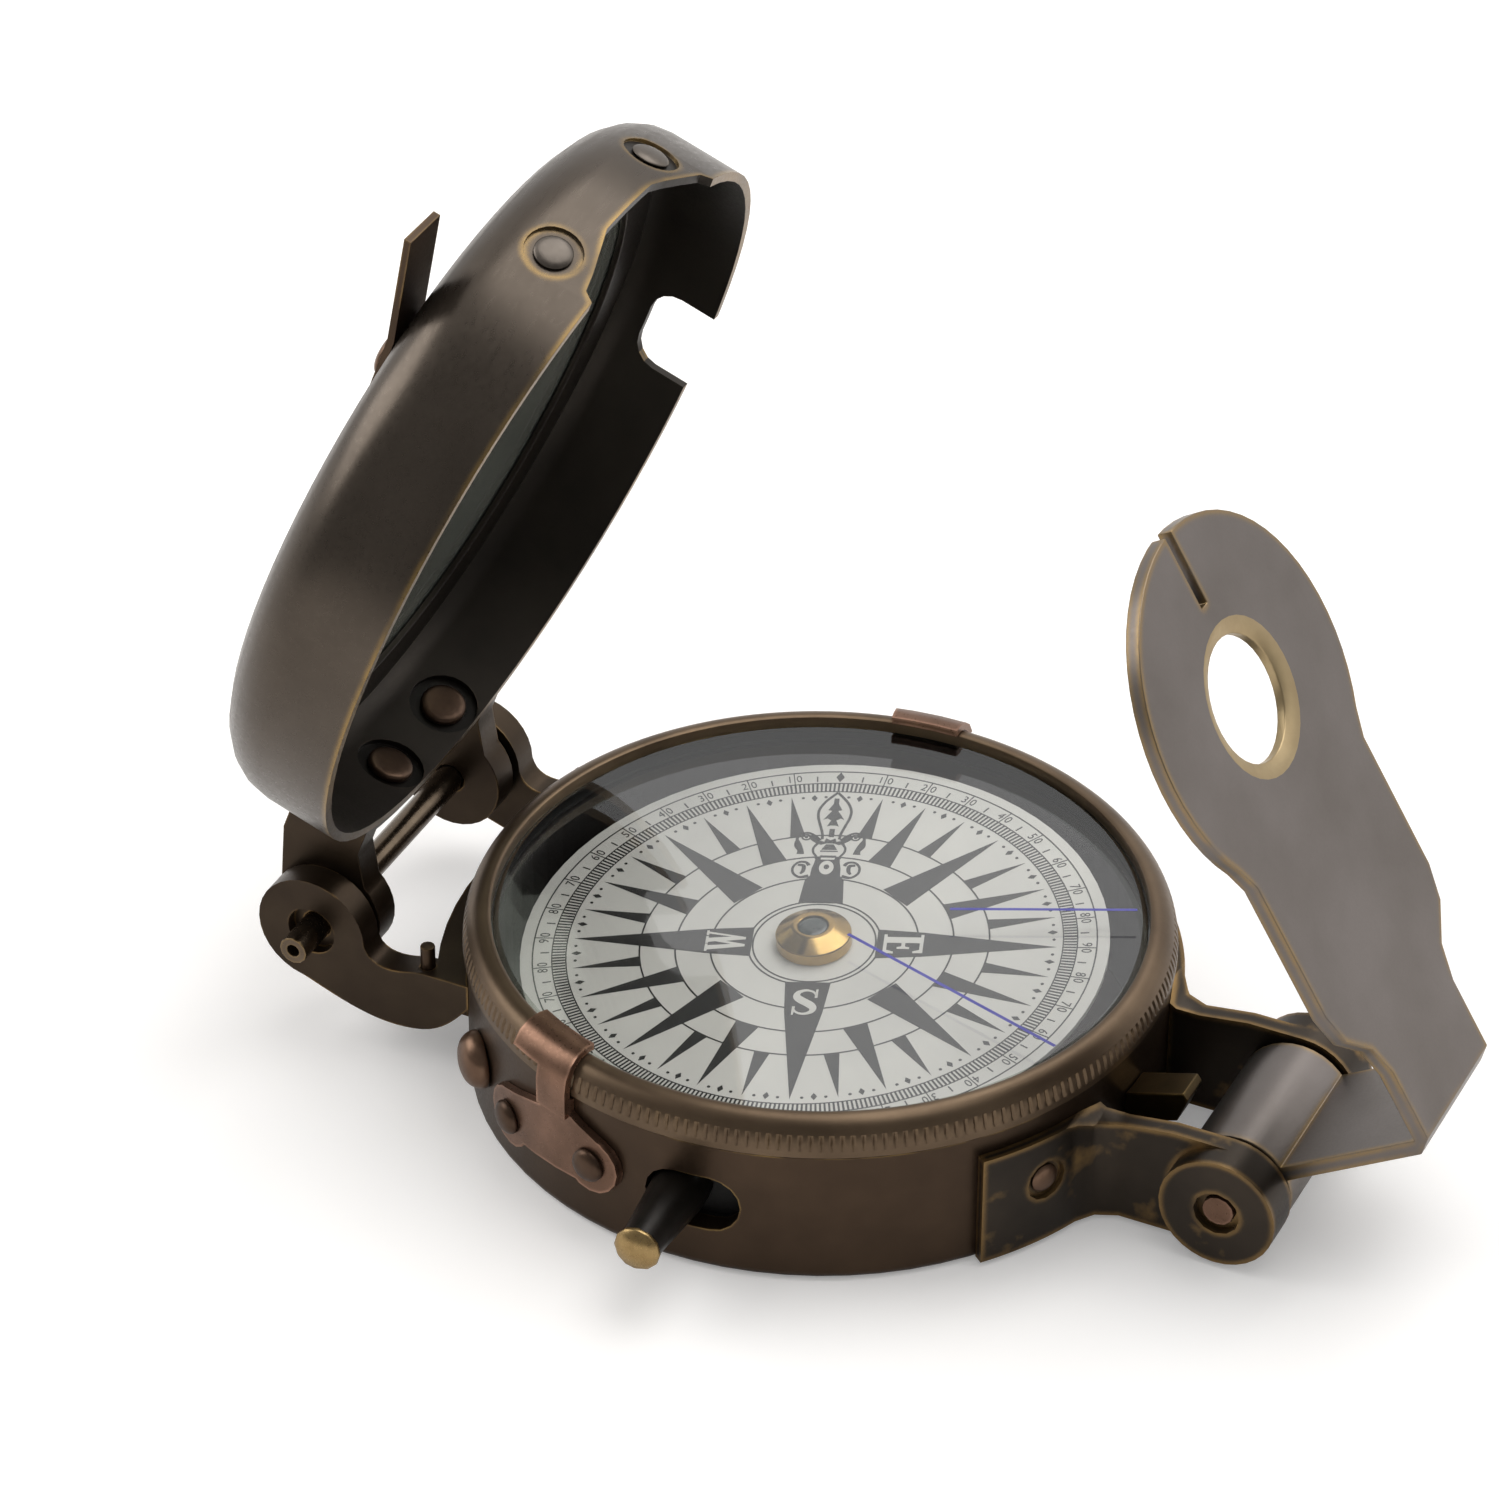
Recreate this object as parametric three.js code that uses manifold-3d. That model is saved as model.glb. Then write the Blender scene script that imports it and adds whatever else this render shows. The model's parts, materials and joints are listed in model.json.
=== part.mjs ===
// A pocket compass with a mirror lid, a folding sight leaf, a turning bezel and a card lock.
// Lengths are in millimetres and angles in degrees. The origin is the centre of the case's
// underside, +Z is up, +X points to the sight leaf's hinge and the lid's hinge lies at -X.
// Both hinge pins run along Y. An azimuth is counted from +X towards +Y.

import * as THREE from 'three';
import { mergeVertices } from 'three/addons/utils/BufferGeometryUtils.js';
import Module from 'manifold-3d';

const wasm = await Module();
wasm.setup();

// Sides of the circles
const bigSides = 72;
const middleSides = 36;
const smallSides = 12;
const recessSides = 24;

const rad = Math.PI / 180;

// Gaps between pieces
const fixedGap = 0.05;
const turnGap = 0.1;
const slideGap = 0.3;

// Case
const caseRadius = 28.2;
const caseWall = 1.7;
const caseFloor = 1.6;
const caseShoulder = 12.1;
const caseEdge = 1.0;
const spigotStep = 1.1;
const spigotRadius = caseRadius - spigotStep;
const spigotHeight = 0.8;
const dialRingWall = 0.6;

// Bezel, crystal and gasket
const bezelWall = 1.3;
const bezelRadius = spigotRadius + turnGap + bezelWall;
const bezelLift = 0.2;
const bezelHeight = 3.0;
const bezelBand = 0.5;
const lipWidth = 2.3;
const lipRadius = bezelRadius - lipWidth;
const lipCrest = 0.4;
const gasketThickness = 0.3;
const gasketWidth = 1.0;
const crystalFlange = 0.85;
const crystalRise = 0.5;

// Card and its pivot
const pivotX = -0.5;
const pivotY = -0.1;
const pivotDrop = 0.3;
const pivotZ = caseShoulder - pivotDrop;
const pivotFootRadius = 2.6;
const pivotFootHeight = 1.0;
const pivotRadius = 1.1;
const pivotNeedleLength = 2.9;
const cardTilt = 4.3;
const cardTiltAzimuth = 50;
const cardNorth = 109.5;
const cardClearance = 2.2;
const cardRadius = caseRadius - caseWall - turnGap - dialRingWall - cardClearance;
const cardThickness = 0.4;
const cardDrop = 0.4;
const capHubRadius = 2.0;
const capHubDrop = 2.2;
const capBellyRadius = 3.05;
const capHeight = 1.4;
const capEave = 0.65;
const capTopRadius = 1.75;
const capBore = 1.25;
const magnetLength = 28;
const magnetWidth = 2.0;
const magnetHeight = 1.5;
const magnetOffset = 4.6;

// Card lock: lifter arm, slide, post and knob
const lifterInset = 9;
const lifterAxisY = caseRadius - caseWall - lifterInset;
const lifterBottom = 6.3;
const lifterThickness = 0.5;
const lifterHalfWidth = 2.5;
const lifterTipInset = 5;
const lifterTip = caseRadius - caseWall - lifterTipInset;
const lifterTail = 2.2;
const lifterRingRadius = 2.9;
const lifterRingBore = 1.7;
const lifterRingHeight = 1.8;
const lifterLift = 1.9;
const lifterScrewRadius = 1.0;
const lifterScrewHead = 1.8;
const lifterScrewHeadHeight = 0.8;
const slideWall = 1.3;
const slideSpan = 32;
const slideTop = 8.7;
const rampReach = 5.2;
const postAzimuth = -88;
const postHeight = 6.5;
const postRadius = 2.2;
const postTipRadius = 1.6;
const postLength = 6.7;
const postStudRadius = 1.0;
const postTravel = 5.5;
const postPlay = 0.35;
const slotHeight = 5.0;
const knobRadius = 1.9;
const knobHeight = 1.1;

// Bezel clips
const clipAzimuth = -112;
const clipTurn = 209.2;
const clipThickness = 0.65;
const clipRivets = [
  { across: -5.05, height: 6.0 },
  { across: 4.6, height: 7.0 },
];
const clipLobeRadius = 2.6;
const clipNeckHalfWidth = 1.6;
const clipNeckAcross = 0.86;
const clipTabFrom = -119.7;
const clipTabTo = -111.6;
const clipTabRise = 1.9;
const clipTabHeight = caseShoulder + clipTabRise;
const clipHookThickness = 0.6;
const clipRivetHead = 1.5;
const clipRivetRise = 0.9;
const clipRivetShank = 0.8;

// Domed rivets that hold the dial ring in the case
const wallRivetAzimuth = 136;
const wallRivetZ = 6.6;
const wallRivetHead = 2.5;
const wallRivetRise = 2.0;
const wallRivetShank = 1.2;

// Lid hinge on the case
const lidHingeReach = 10.1;
const lidHingeX = -caseRadius - lidHingeReach;
const lidHingeDrop = 2.1;
const lidHingeZ = caseShoulder - lidHingeDrop;
const lidOpen = 69.8;
const lidArmInner = 12.3;
const lidArmThickness = 2.4;
// The arm's outline, from the hinge pin
const lidArmLowerEdge = [
  [-0.9, -4.7],
  [1.9, -5.8],
  [4.1, -6.5],
  [6.2, -6.9],
  [8.4, -6.9],
  [10.6, -6.4],
  [12.4, -5.2],
  [14.2, -3.2],
];
const lidArmWallEdge = [
  [15.5, -1.6],
  [15.5, -1.0],
];
const lidArmUpperEdge = [
  [10.6, -1.0],
  [9.4, -1.1],
  [8.2, -1.4],
  [7.1, -1.55],
  [6.0, -1.4],
  [5.2, -0.85],
  [4.8, 0],
];
const lidBossRadius = 4.8;
const lidPinRadius = 1.2;
const lidPinStandOut = 3.0;
const lidPinHoleRadius = 0.55;
const lidPinHoleDepth = 1.6;
const lidBossRecessRadius = 2.1;
const lidBossRecessDepth = 1.0;
const lidWebBottom = 4.0;
const lidWebTop = 9.0;
const lidWebThickness = 2.4;
const lidWebRivetAzimuth = 12;
const lidWebRivetZ = 6.4;
const lidWebRivetHead = 1.3;
const lidWebRivetRise = 0.5;
const lidWebRivetShank = 0.8;
const lidWasherThickness = 0.4;
const lidWasherRadius = 4.2;
const stopPinReach = 10;
const stopPinRadius = 0.6;
const stopPinSink = 2.5;
const stopPinRise = 1.0;

// Lid
const lidWall = 0.8;
const lidClearance = 1.1;
const lidRadius = bezelRadius + lidClearance + lidWall;
const lidSkirt = 2.8;
const lidRim = caseShoulder - lidSkirt;
const lidHeight = 11.2;
const lidTop = lidRim + lidHeight;
const lidCorner = 5.0;
const lidNotchAzimuth = 94.2;
const lidNotchHalfWidth = 3.65;
const lidNotchHeight = 5.3;
const lidNotchCorner = 2.2;
// The cut in the rim over the leaf's arms: half widths and heights above the rim
const frontNotchOutline = [
  [10.2, 0],
  [9.6, 0.9],
  [8.0, 1.3],
  [3.7, 2.7],
];
const earThickness = 2.6;
const earRadius = 4.6;
const earWebRise = 0.3;
const earWebHeight = 6.6;
const earWebBottom = lidRim + earWebRise;
const earWebTop = earWebBottom + earWebHeight;
const earPlateTop = 5.3;
const earPlateFoot = 4.1;
const earPlateFootDrop = 2.0;
const earPlateBottom = 7.0;
const earWebThickness = 1.15;
const earRivetAzimuth = 176.5;
const earRivetSpread = 8.5;
const earRivetRise = 2.9;
const earRivetZ = lidRim + earRivetRise;
const earRivetHead = 2.0;
const earRivetShank = 1.1;
const earRecessRadius = 2.85;
const recessDepth = 0.4;
const frontRivetAzimuth = 15.5;
const frontRivetRise = 4.7;
const frontRivetZ = lidRim + frontRivetRise;
const frontRivetHead = 1.6;
const frontRivetShank = 0.8;
const frontRecessRadius = 2.3;
const mirrorInset = 3.6;
const mirrorRadius = lidRadius - mirrorInset;
const mirrorThickness = 1.15;
const mirrorBackingThickness = 0.5;
const mirrorRingLap = 2.2;
const mirrorRingInset = 1.8;
const mirrorRingInner = mirrorRadius - mirrorRingLap;
const mirrorRingOuter = lidRadius - mirrorRingInset;
const mirrorRingThickness = 0.55;
const strapY = -14.0;
const strapWidth = 4.6;
const strapEndInset = 0.9;
const strapRise = 9;
const strapFlat = 7;
const strapEndX = lidRadius - strapEndInset;
const strapBendX = strapEndX - strapRise;
const strapStartX = strapBendX - strapFlat;
const strapThickness = 0.6;
const strapLift = 1.5;
const strapRivetX = strapBendX - 3 / 7 * strapFlat;
const strapRivetHead = 1.9;
const strapRivetRise = 0.7;
const strapRivetShank = 0.9;

// Sight leaf and its hinge
const leafHingeReach = 10.5;
const leafHingeX = caseRadius + leafHingeReach;
const leafHingeZ = 5.3;
const leafOpen = 59;
const leafArmInner = 7.0;
const leafArmThickness = 1.5;
const leafBossRadius = 4.8;
const leafBossOuter = 10.5;
const leafBossRecessRadius = 1.9;
const leafBossRecessDepth = 0.8;
const leafArmBottom = 0.4;
const leafArmLead = 1.65;
const leafArmNeck = 4.7;
const leafArmNeckRise = 0.6;
const leafFootNear = 7.07;
const leafBendAcross = 10.68;
const leafBendPull = 0.35;
const leafRivetAcross = 13.13;
const leafFootAcross = 17.9;
const leafFootThickness = 0.9;
const leafFootTop = 10.4;
const leafArmTop = 9.5;
const leafRivetZ = 6.3;
const leafRivetHead = 1.3;
const leafRivetShank = 0.8;
const leafRivetRise = 0.5;
const leafRecessRadius = 1.8;
const leafRecessDepth = 0.45;
const leafPinRadius = 1.3;
const leafPinSink = 0.3;
const leafWasherThickness = 0.3;
const leafWasherRadius = 4.0;
const leafKnuckleRadius = 4.6;
const leafKnuckleHalf = 6.5;
const leafRest = 2.2;
const leafOffset = lidTop + leafRest - leafHingeZ;
const leafLegCorner = 1.2;
const leafLegLap = 3;
const leafShoulder = 0.9;
const leafReach = 36.7;
const leafThickness = 1.25;
const leafDiscRadius = 14.4;
const leafHoleRadius = 5.0;
const leafBevelRadius = 6.3;
const leafBevelDepth = 0.5;
const leafSlotWidth = 1.0;
const leafSlotLength = 6.3;
const leafTongueHalf = 10.9;
const leafTongueLength = 22;
const leafNeckLength = 8;
const restTabY = -2.0;
const restTabWidth = 3.0;
const restTabReach = 5.0;
const restTabBottom = 5.7;
const restTabHeight = 2.8;
const restTabRise = 1.5;

// Turns a three.js geometry into a closed solid that can be joined and cut.
function solid(geometry) {
  geometry.deleteAttribute('normal');
  geometry.deleteAttribute('uv');
  const merged = mergeVertices(geometry);
  const index = merged.index.array;
  const position = merged.attributes.position;
  const corner = [new THREE.Vector3(), new THREE.Vector3(), new THREE.Vector3()];
  const triangles = [];
  let volume = 0;
  for (let i = 0; i < index.length; i += 3) {
    const [a, b, c] = [index[i], index[i + 1], index[i + 2]];
    if (a === b || b === c || c === a) continue;
    triangles.push(a, b, c);
    corner.forEach((point, k) => point.fromBufferAttribute(position, index[i + k]));
    volume += corner[0].dot(corner[1].clone().cross(corner[2]));
  }
  if (volume < 0) triangles.reverse();
  return new wasm.Manifold(new wasm.Mesh({
    numProp: 3,
    vertProperties: Float32Array.from(position.array),
    triVerts: Uint32Array.from(triangles),
  }));
}

// A circular arc as a list of points.
function arc(x, y, radius, from, to, steps) {
  const points = [];
  for (let i = 0; i <= steps; i++) {
    const angle = (from + (to - from) * i / steps) * rad;
    points.push([x + radius * Math.cos(angle), y + radius * Math.sin(angle)]);
  }
  return points;
}

// A solid of revolution about Z from a closed profile of [radius, height] points.
function turn(profile, sides) {
  const points = profile.map(([r, z]) => new THREE.Vector2(r, z));
  if (profile[0][0] > 0) points.push(points[0].clone());
  return solid(new THREE.LatheGeometry(points, sides).rotateX(90 * rad));
}

function ring(inner, outer, bottom, top, sides) {
  return turn([[inner, bottom], [outer, bottom], [outer, top], [inner, top]], sides);
}

function disc(radius, bottom, top, sides) {
  return turn([[0, bottom], [radius, bottom], [radius, top], [0, top]], sides);
}

// A prism along Z over an outline in X and Y.
function prismZ(outline, bottom, top) {
  const shape = new THREE.Shape(outline.map(([x, y]) => new THREE.Vector2(x, y)));
  const geometry = new THREE.ExtrudeGeometry(shape, { depth: top - bottom, bevelEnabled: false });
  return solid(geometry).translate([0, 0, bottom]);
}

// A prism along Y over an outline in X and Z.
function prismY(outline, from, to) {
  return prismZ(outline, -to, -from).rotate([90, 0, 0]);
}

// Points of a smooth curve through the given points, cut into so many steps.
function smooth(points, steps) {
  const curve = new THREE.SplineCurve(points.map(([x, y]) => new THREE.Vector2(x, y)));
  return curve.getPoints(steps).map(({ x, y }) => [x, y]);
}

// A prism along a radius of the case, over an outline in distance across and height.
function prismRadial(outline, azimuth, from, to) {
  return prismZ(outline, from, to).rotate([90, 0, 90]).rotate([0, 0, azimuth]);
}

// A turned piece whose axis is a radius of the case; its profile is [radius, distance out].
function turnRadial(profile, azimuth, height, sides) {
  return turn(profile, sides).rotate([0, 90, 0]).rotate([0, 0, azimuth]).translate([0, 0, height]);
}

// A turned piece whose axis runs along Y; its profile is [radius, y].
function turnY(profile, x, z, sides) {
  return turn(profile, sides).rotate([-90, 0, 0]).translate([x, 0, z]);
}

function rodY(radius, x, z, from, to, sides) {
  return turnY([[0, from], [radius, from], [radius, to], [0, to]], x, z, sides);
}

// The slice of everything between two azimuths.
function wedge(from, to, bottom, top) {
  const reach = 60;
  return prismZ([[0, 0], ...arc(0, 0, reach, from, to, 4)], bottom, top);
}

function mirrored(piece) {
  return piece.mirror([0, 1, 0]);
}

function bothSides(piece) {
  return piece.add(mirrored(piece));
}

// Profile of a rivet with a domed head that sits at a distance out and whose shank ends at another.
function rivetProfile(head, rise, seat, shank, end) {
  const dome = [90, 50, 0].map((angle) => [
    head * Math.sin(angle * rad),
    seat + 0.3 * rise + 0.7 * rise * Math.cos(angle * rad),
  ]);
  return [[0, end], [shank, end], [shank, seat], [head, seat], ...dome];
}

function rivet(azimuth, height, head, rise, seat, shank, end) {
  return turnRadial(rivetProfile(head, rise, seat, shank, end), azimuth, height, smallSides);
}

function rivetHole(azimuth, height, shank, from, to) {
  const radius = shank + fixedGap;
  const profile = [[0, from], [radius, from], [radius, to], [0, to]];
  return turnRadial(profile, azimuth, height, smallSides);
}

const bronze = { color: '#4a3d33', roughness: 0.45, metalness: 0.9 };
const bezelBronze = { color: '#5b4b3d', roughness: 0.4, metalness: 0.9 };
const copper = { color: '#8a5b45', roughness: 0.45, metalness: 0.9 };
const brass = { color: '#b18f4c', roughness: 0.3, metalness: 1.0 };
const steel = { color: '#8d8c88', roughness: 0.4, metalness: 1.0 };
const black = { color: '#1e1b19', roughness: 0.5, metalness: 0.3 };
const cardStock = { color: '#d6d7cf', roughness: 0.7, metalness: 0.0 };
const glass = { color: '#cfd8d2', roughness: 0.05, metalness: 0.0, transparent: true, opacity: 0.25 };
const silver = { color: '#a3aaa2', roughness: 0.05, metalness: 1.0 };
const felt = { color: '#2e2a27', roughness: 0.95, metalness: 0.0 };
const rubber = { color: '#1b1b1b', roughness: 0.8, metalness: 0.0 };
const jewel = { color: '#2b2f33', roughness: 0.1, metalness: 0.0 };

// Adds a named piece to a group; the group's own origin is taken off the solid first.
function place(parent, name, piece, look, origin = [0, 0, 0]) {
  const local = piece.translate(origin.map((value) => -value)).getMesh();
  const geometry = new THREE.BufferGeometry();
  geometry.setAttribute('position', new THREE.BufferAttribute(local.vertProperties, 3));
  geometry.setIndex(new THREE.BufferAttribute(local.triVerts, 1));
  geometry.computeVertexNormals();
  const mesh = new THREE.Mesh(geometry, new THREE.MeshStandardMaterial(look));
  mesh.name = name;
  parent.add(mesh);
}

// Adds two like pieces: the one at +Y is the back one, and its mirror image is the front one.
function placePair(parent, name, piece, look, origin) {
  place(parent, `${name}_front`, mirrored(piece), look, origin);
  place(parent, `${name}_back`, piece, look, origin);
}

// Heights and radii that several pieces share
const caseBore = caseRadius - caseWall;
const spigotTop = caseShoulder + spigotHeight;
const wallSeat = caseRadius + fixedGap;
const floorSeat = caseFloor + fixedGap;
const bezelBottom = caseShoulder + bezelLift;
const bezelTop = bezelBottom + bezelHeight;
const bezelBore = spigotRadius + turnGap;
const gasketBottom = spigotTop + turnGap;
const crystalBottom = gasketBottom + gasketThickness + fixedGap;
const crystalStep = crystalBottom + crystalFlange;
const dialRingOuter = caseBore - turnGap;
const dialRingInner = dialRingOuter - dialRingWall;
const clipRadius = wallSeat + clipThickness;
const lidArmOuter = lidArmInner + lidArmThickness;
const lidBore = lidRadius - lidWall;
const lidSeat = lidRadius + turnGap;
const earOuter = lidArmInner - lidWasherThickness - 3 * turnGap;
const earInner = earOuter - earThickness;
const leafRivetAzimuth = Math.asin(leafRivetAcross / wallSeat) / rad;
const clipRivetAngle = (place) => clipAzimuth + Math.asin(place.across / clipRadius) / rad;
const slotAzimuth = postAzimuth + postTravel / 2;
const slotHalfLength = caseRadius * Math.sin(postTravel / 2 * rad) + postRadius + postPlay;

// The slot in the wall that the lock post travels along
function lockSlot(margin) {
  const end = slotHeight / 2 + margin;
  const reach = slotHalfLength + margin - end;
  const outline = [...arc(reach, 0, end, -90, 90, 8), ...arc(-reach, 0, end, 90, 270, 8)];
  const through = outline.map(([x, z]) => [x, z + postHeight]);
  return prismRadial(through, slotAzimuth, dialRingInner - 1, caseRadius + 1);
}

function caseBody() {
  let body = turn([
    [0, 0],
    ...arc(caseRadius - caseEdge, caseEdge, caseEdge, -90, 0, 4),
    [caseRadius, caseShoulder],
    [spigotRadius, caseShoulder],
    [spigotRadius, spigotTop],
    [caseBore, spigotTop],
    [caseBore, caseFloor],
    [0, caseFloor],
  ], bigSides);
  body = body.subtract(lockSlot(0));
  const through = [caseBore - 1, caseRadius + 1];
  for (const side of [-1, 1]) {
    body = body.subtract(rivetHole(side * wallRivetAzimuth, wallRivetZ, wallRivetShank, ...through));
    body = body.subtract(rivetHole(side * leafRivetAzimuth, leafRivetZ, leafRivetShank, ...through));
    const web = 180 + side * lidWebRivetAzimuth;
    body = body.subtract(rivetHole(web, lidWebRivetZ, lidWebRivetShank, ...through));
  }
  for (const turned of [0, clipTurn]) {
    for (const at of clipRivets) {
      const azimuth = clipRivetAngle(at) + turned;
      body = body.subtract(rivetHole(azimuth, at.height, clipRivetShank, ...through));
    }
  }
  return body;
}

function dialRing() {
  const tube = ring(dialRingInner, dialRingOuter, floorSeat, spigotTop - turnGap, bigSides);
  return tube.subtract(lockSlot(slideGap));
}

// The bezel's outside is a quarter of an ellipse from its band up to the crest of its lip.
function bezelOutside(steps) {
  const crest = lipRadius + lipCrest;
  const points = [];
  for (let i = 0; i <= steps; i++) {
    const angle = 90 * i / steps * rad;
    points.push([
      crest + (bezelRadius - crest) * Math.cos(angle),
      bezelBottom + bezelBand + (bezelHeight - bezelBand) * Math.sin(angle),
    ]);
  }
  return points;
}

function bezelRing() {
  return turn([
    [bezelRadius, bezelBottom],
    ...bezelOutside(6),
    [lipRadius, bezelTop - lipCrest / 2],
    [lipRadius, crystalStep + fixedGap],
    [bezelBore, crystalStep + fixedGap],
    [bezelBore, bezelBottom],
  ], bigSides);
}

function crystal() {
  const flangeRadius = bezelBore - slideGap;
  const raised = lipRadius - turnGap;
  return turn([
    [0, crystalBottom],
    [flangeRadius, crystalBottom],
    [flangeRadius, crystalStep],
    [raised, crystalStep],
    [raised - crystalRise, crystalStep + crystalRise],
    [0, crystalStep + crystalRise],
  ], bigSides);
}

function crystalGasket() {
  const outer = bezelBore - turnGap;
  return ring(outer - gasketWidth, outer, gasketBottom, gasketBottom + gasketThickness, middleSides);
}

function pivotPin() {
  const footTop = floorSeat + pivotFootHeight;
  const needleFoot = pivotZ - pivotNeedleLength;
  const tip = pivotZ - fixedGap;
  return turn([
    [0, floorSeat],
    [pivotFootRadius, floorSeat],
    [pivotFootRadius, footTop],
    [pivotRadius, footTop],
    [pivotRadius, needleFoot],
    [pivotRadius / 2, needleFoot + 0.8],
    [pivotRadius / 9, tip],
    [0, tip],
  ], smallSides).translate([pivotX, pivotY, 0]);
}

// The card and what turns with it are built about the pivot's tip.
function compassCard() {
  return ring(capHubRadius + turnGap, cardRadius, -cardDrop - cardThickness, -cardDrop, bigSides);
}

function cardCap() {
  const flange = -cardDrop + fixedGap;
  return turn([
    [capBore, -capHubDrop],
    [capHubRadius, -capHubDrop],
    [capHubRadius, flange],
    [capBellyRadius, flange],
    [capBellyRadius, capEave],
    [capTopRadius, capHeight],
    [capBore, capHeight],
  ], 24);
}

function capJewel() {
  const radius = capBore - fixedGap;
  return turn([
    [0, turnGap],
    [radius, turnGap],
    [radius, capHeight - turnGap],
    [radius * 0.6, capHeight],
    [0, capHeight],
  ], smallSides);
}

function cardMagnet() {
  const top = -cardDrop - cardThickness - fixedGap;
  const half = magnetLength / 2;
  const inner = magnetOffset - magnetWidth / 2;
  const outer = magnetOffset + magnetWidth / 2;
  const outline = [[-half, inner], [half, inner], [half, outer], [-half, outer]];
  return prismZ(outline, top - magnetHeight, top);
}

function lifterBase() {
  const half = lifterHalfWidth + 0.5;
  const outline = [
    [pivotX - half, lifterAxisY - lifterTail],
    [pivotX + half, lifterAxisY - lifterTail],
    [pivotX + half, lifterAxisY + lifterTail],
    [pivotX - half, lifterAxisY + lifterTail],
  ];
  const hole = disc(lifterScrewRadius + fixedGap, floorSeat + 1, lifterBottom, smallSides);
  const block = prismZ(outline, floorSeat, lifterBottom - slideGap);
  return block.subtract(hole.translate([pivotX, lifterAxisY, 0]));
}

function lifterScrew() {
  const head = lifterBottom + lifterThickness + slideGap;
  const foot = floorSeat + 1 + slideGap;
  return turn([
    [0, foot],
    [lifterScrewRadius, foot],
    [lifterScrewRadius, head],
    [lifterScrewHead, head],
    [lifterScrewHead, head + lifterScrewHeadHeight],
    [0, head + lifterScrewHeadHeight],
  ], smallSides).translate([pivotX, lifterAxisY, 0]);
}

function cardLifter() {
  const left = pivotX - lifterHalfWidth;
  const right = pivotX + lifterHalfWidth;
  const back = lifterAxisY + lifterTail;
  const outline = [[left, -lifterTip], [right, -lifterTip], [right, back], [left, back]];
  const top = lifterBottom + lifterThickness;
  const arm = prismZ(outline, lifterBottom, top);
  const collar = disc(lifterRingRadius, lifterBottom, top + lifterRingHeight, smallSides);
  const bore = disc(lifterRingBore, 0, caseShoulder, smallSides).translate([pivotX, pivotY, 0]);
  const screwHole = disc(lifterScrewRadius + slideGap, 0, caseShoulder, smallSides);
  return arm
    .add(collar.translate([pivotX, pivotY, 0]))
    .subtract(bore)
    .subtract(screwHole.translate([pivotX, lifterAxisY, 0]));
}

// The slide hugs the dial ring and carries a ramp that pushes the lifter's tip up.
function lockSlide() {
  const outer = dialRingInner - turnGap;
  const inner = outer - slideWall;
  const bottom = caseFloor + turnGap;
  const from = postAzimuth - slideSpan / 2;
  const to = postAzimuth + slideSpan / 2;
  const band = ring(inner, outer, bottom, slideTop, bigSides).intersect(wedge(from, to, 0, slideTop));
  const run = lifterTip * Math.sin(postTravel * rad);
  const rise = (lifterTip + lifterAxisY) * Math.sin(lifterLift * rad);
  const edge = pivotX - lifterHalfWidth;
  const low = lifterBottom - slideGap;
  const beyond = 1.5;
  const ramp = prismY([
    [edge - run - beyond, bottom],
    [edge + beyond, bottom],
    [edge + beyond, low - beyond * rise / run],
    [edge - run, low + rise],
    [edge - run - beyond, low + rise],
  ], -outer, rampReach - outer);
  const joined = band.add(ramp.intersect(disc(inner + slideWall / 2, bottom, slideTop, bigSides)));
  return joined.subtract(rivetHole(postAzimuth, postHeight, postStudRadius, inner - 1, outer + 1));
}

function lockPost() {
  const inner = dialRingInner;
  const tip = caseRadius + postLength;
  return turnRadial([
    [0, inner - slideWall],
    [postStudRadius, inner - slideWall],
    [postStudRadius, inner],
    [postRadius, inner],
    [postRadius, caseRadius],
    [postTipRadius, tip],
    [0, tip],
  ], postAzimuth, postHeight, smallSides);
}

function lockKnob() {
  const seat = caseRadius + postLength;
  const profile = rivetProfile(knobRadius, knobHeight, seat, knobRadius, seat).slice(2);
  return turnRadial([[0, seat], ...profile], postAzimuth, postHeight, smallSides);
}

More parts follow.
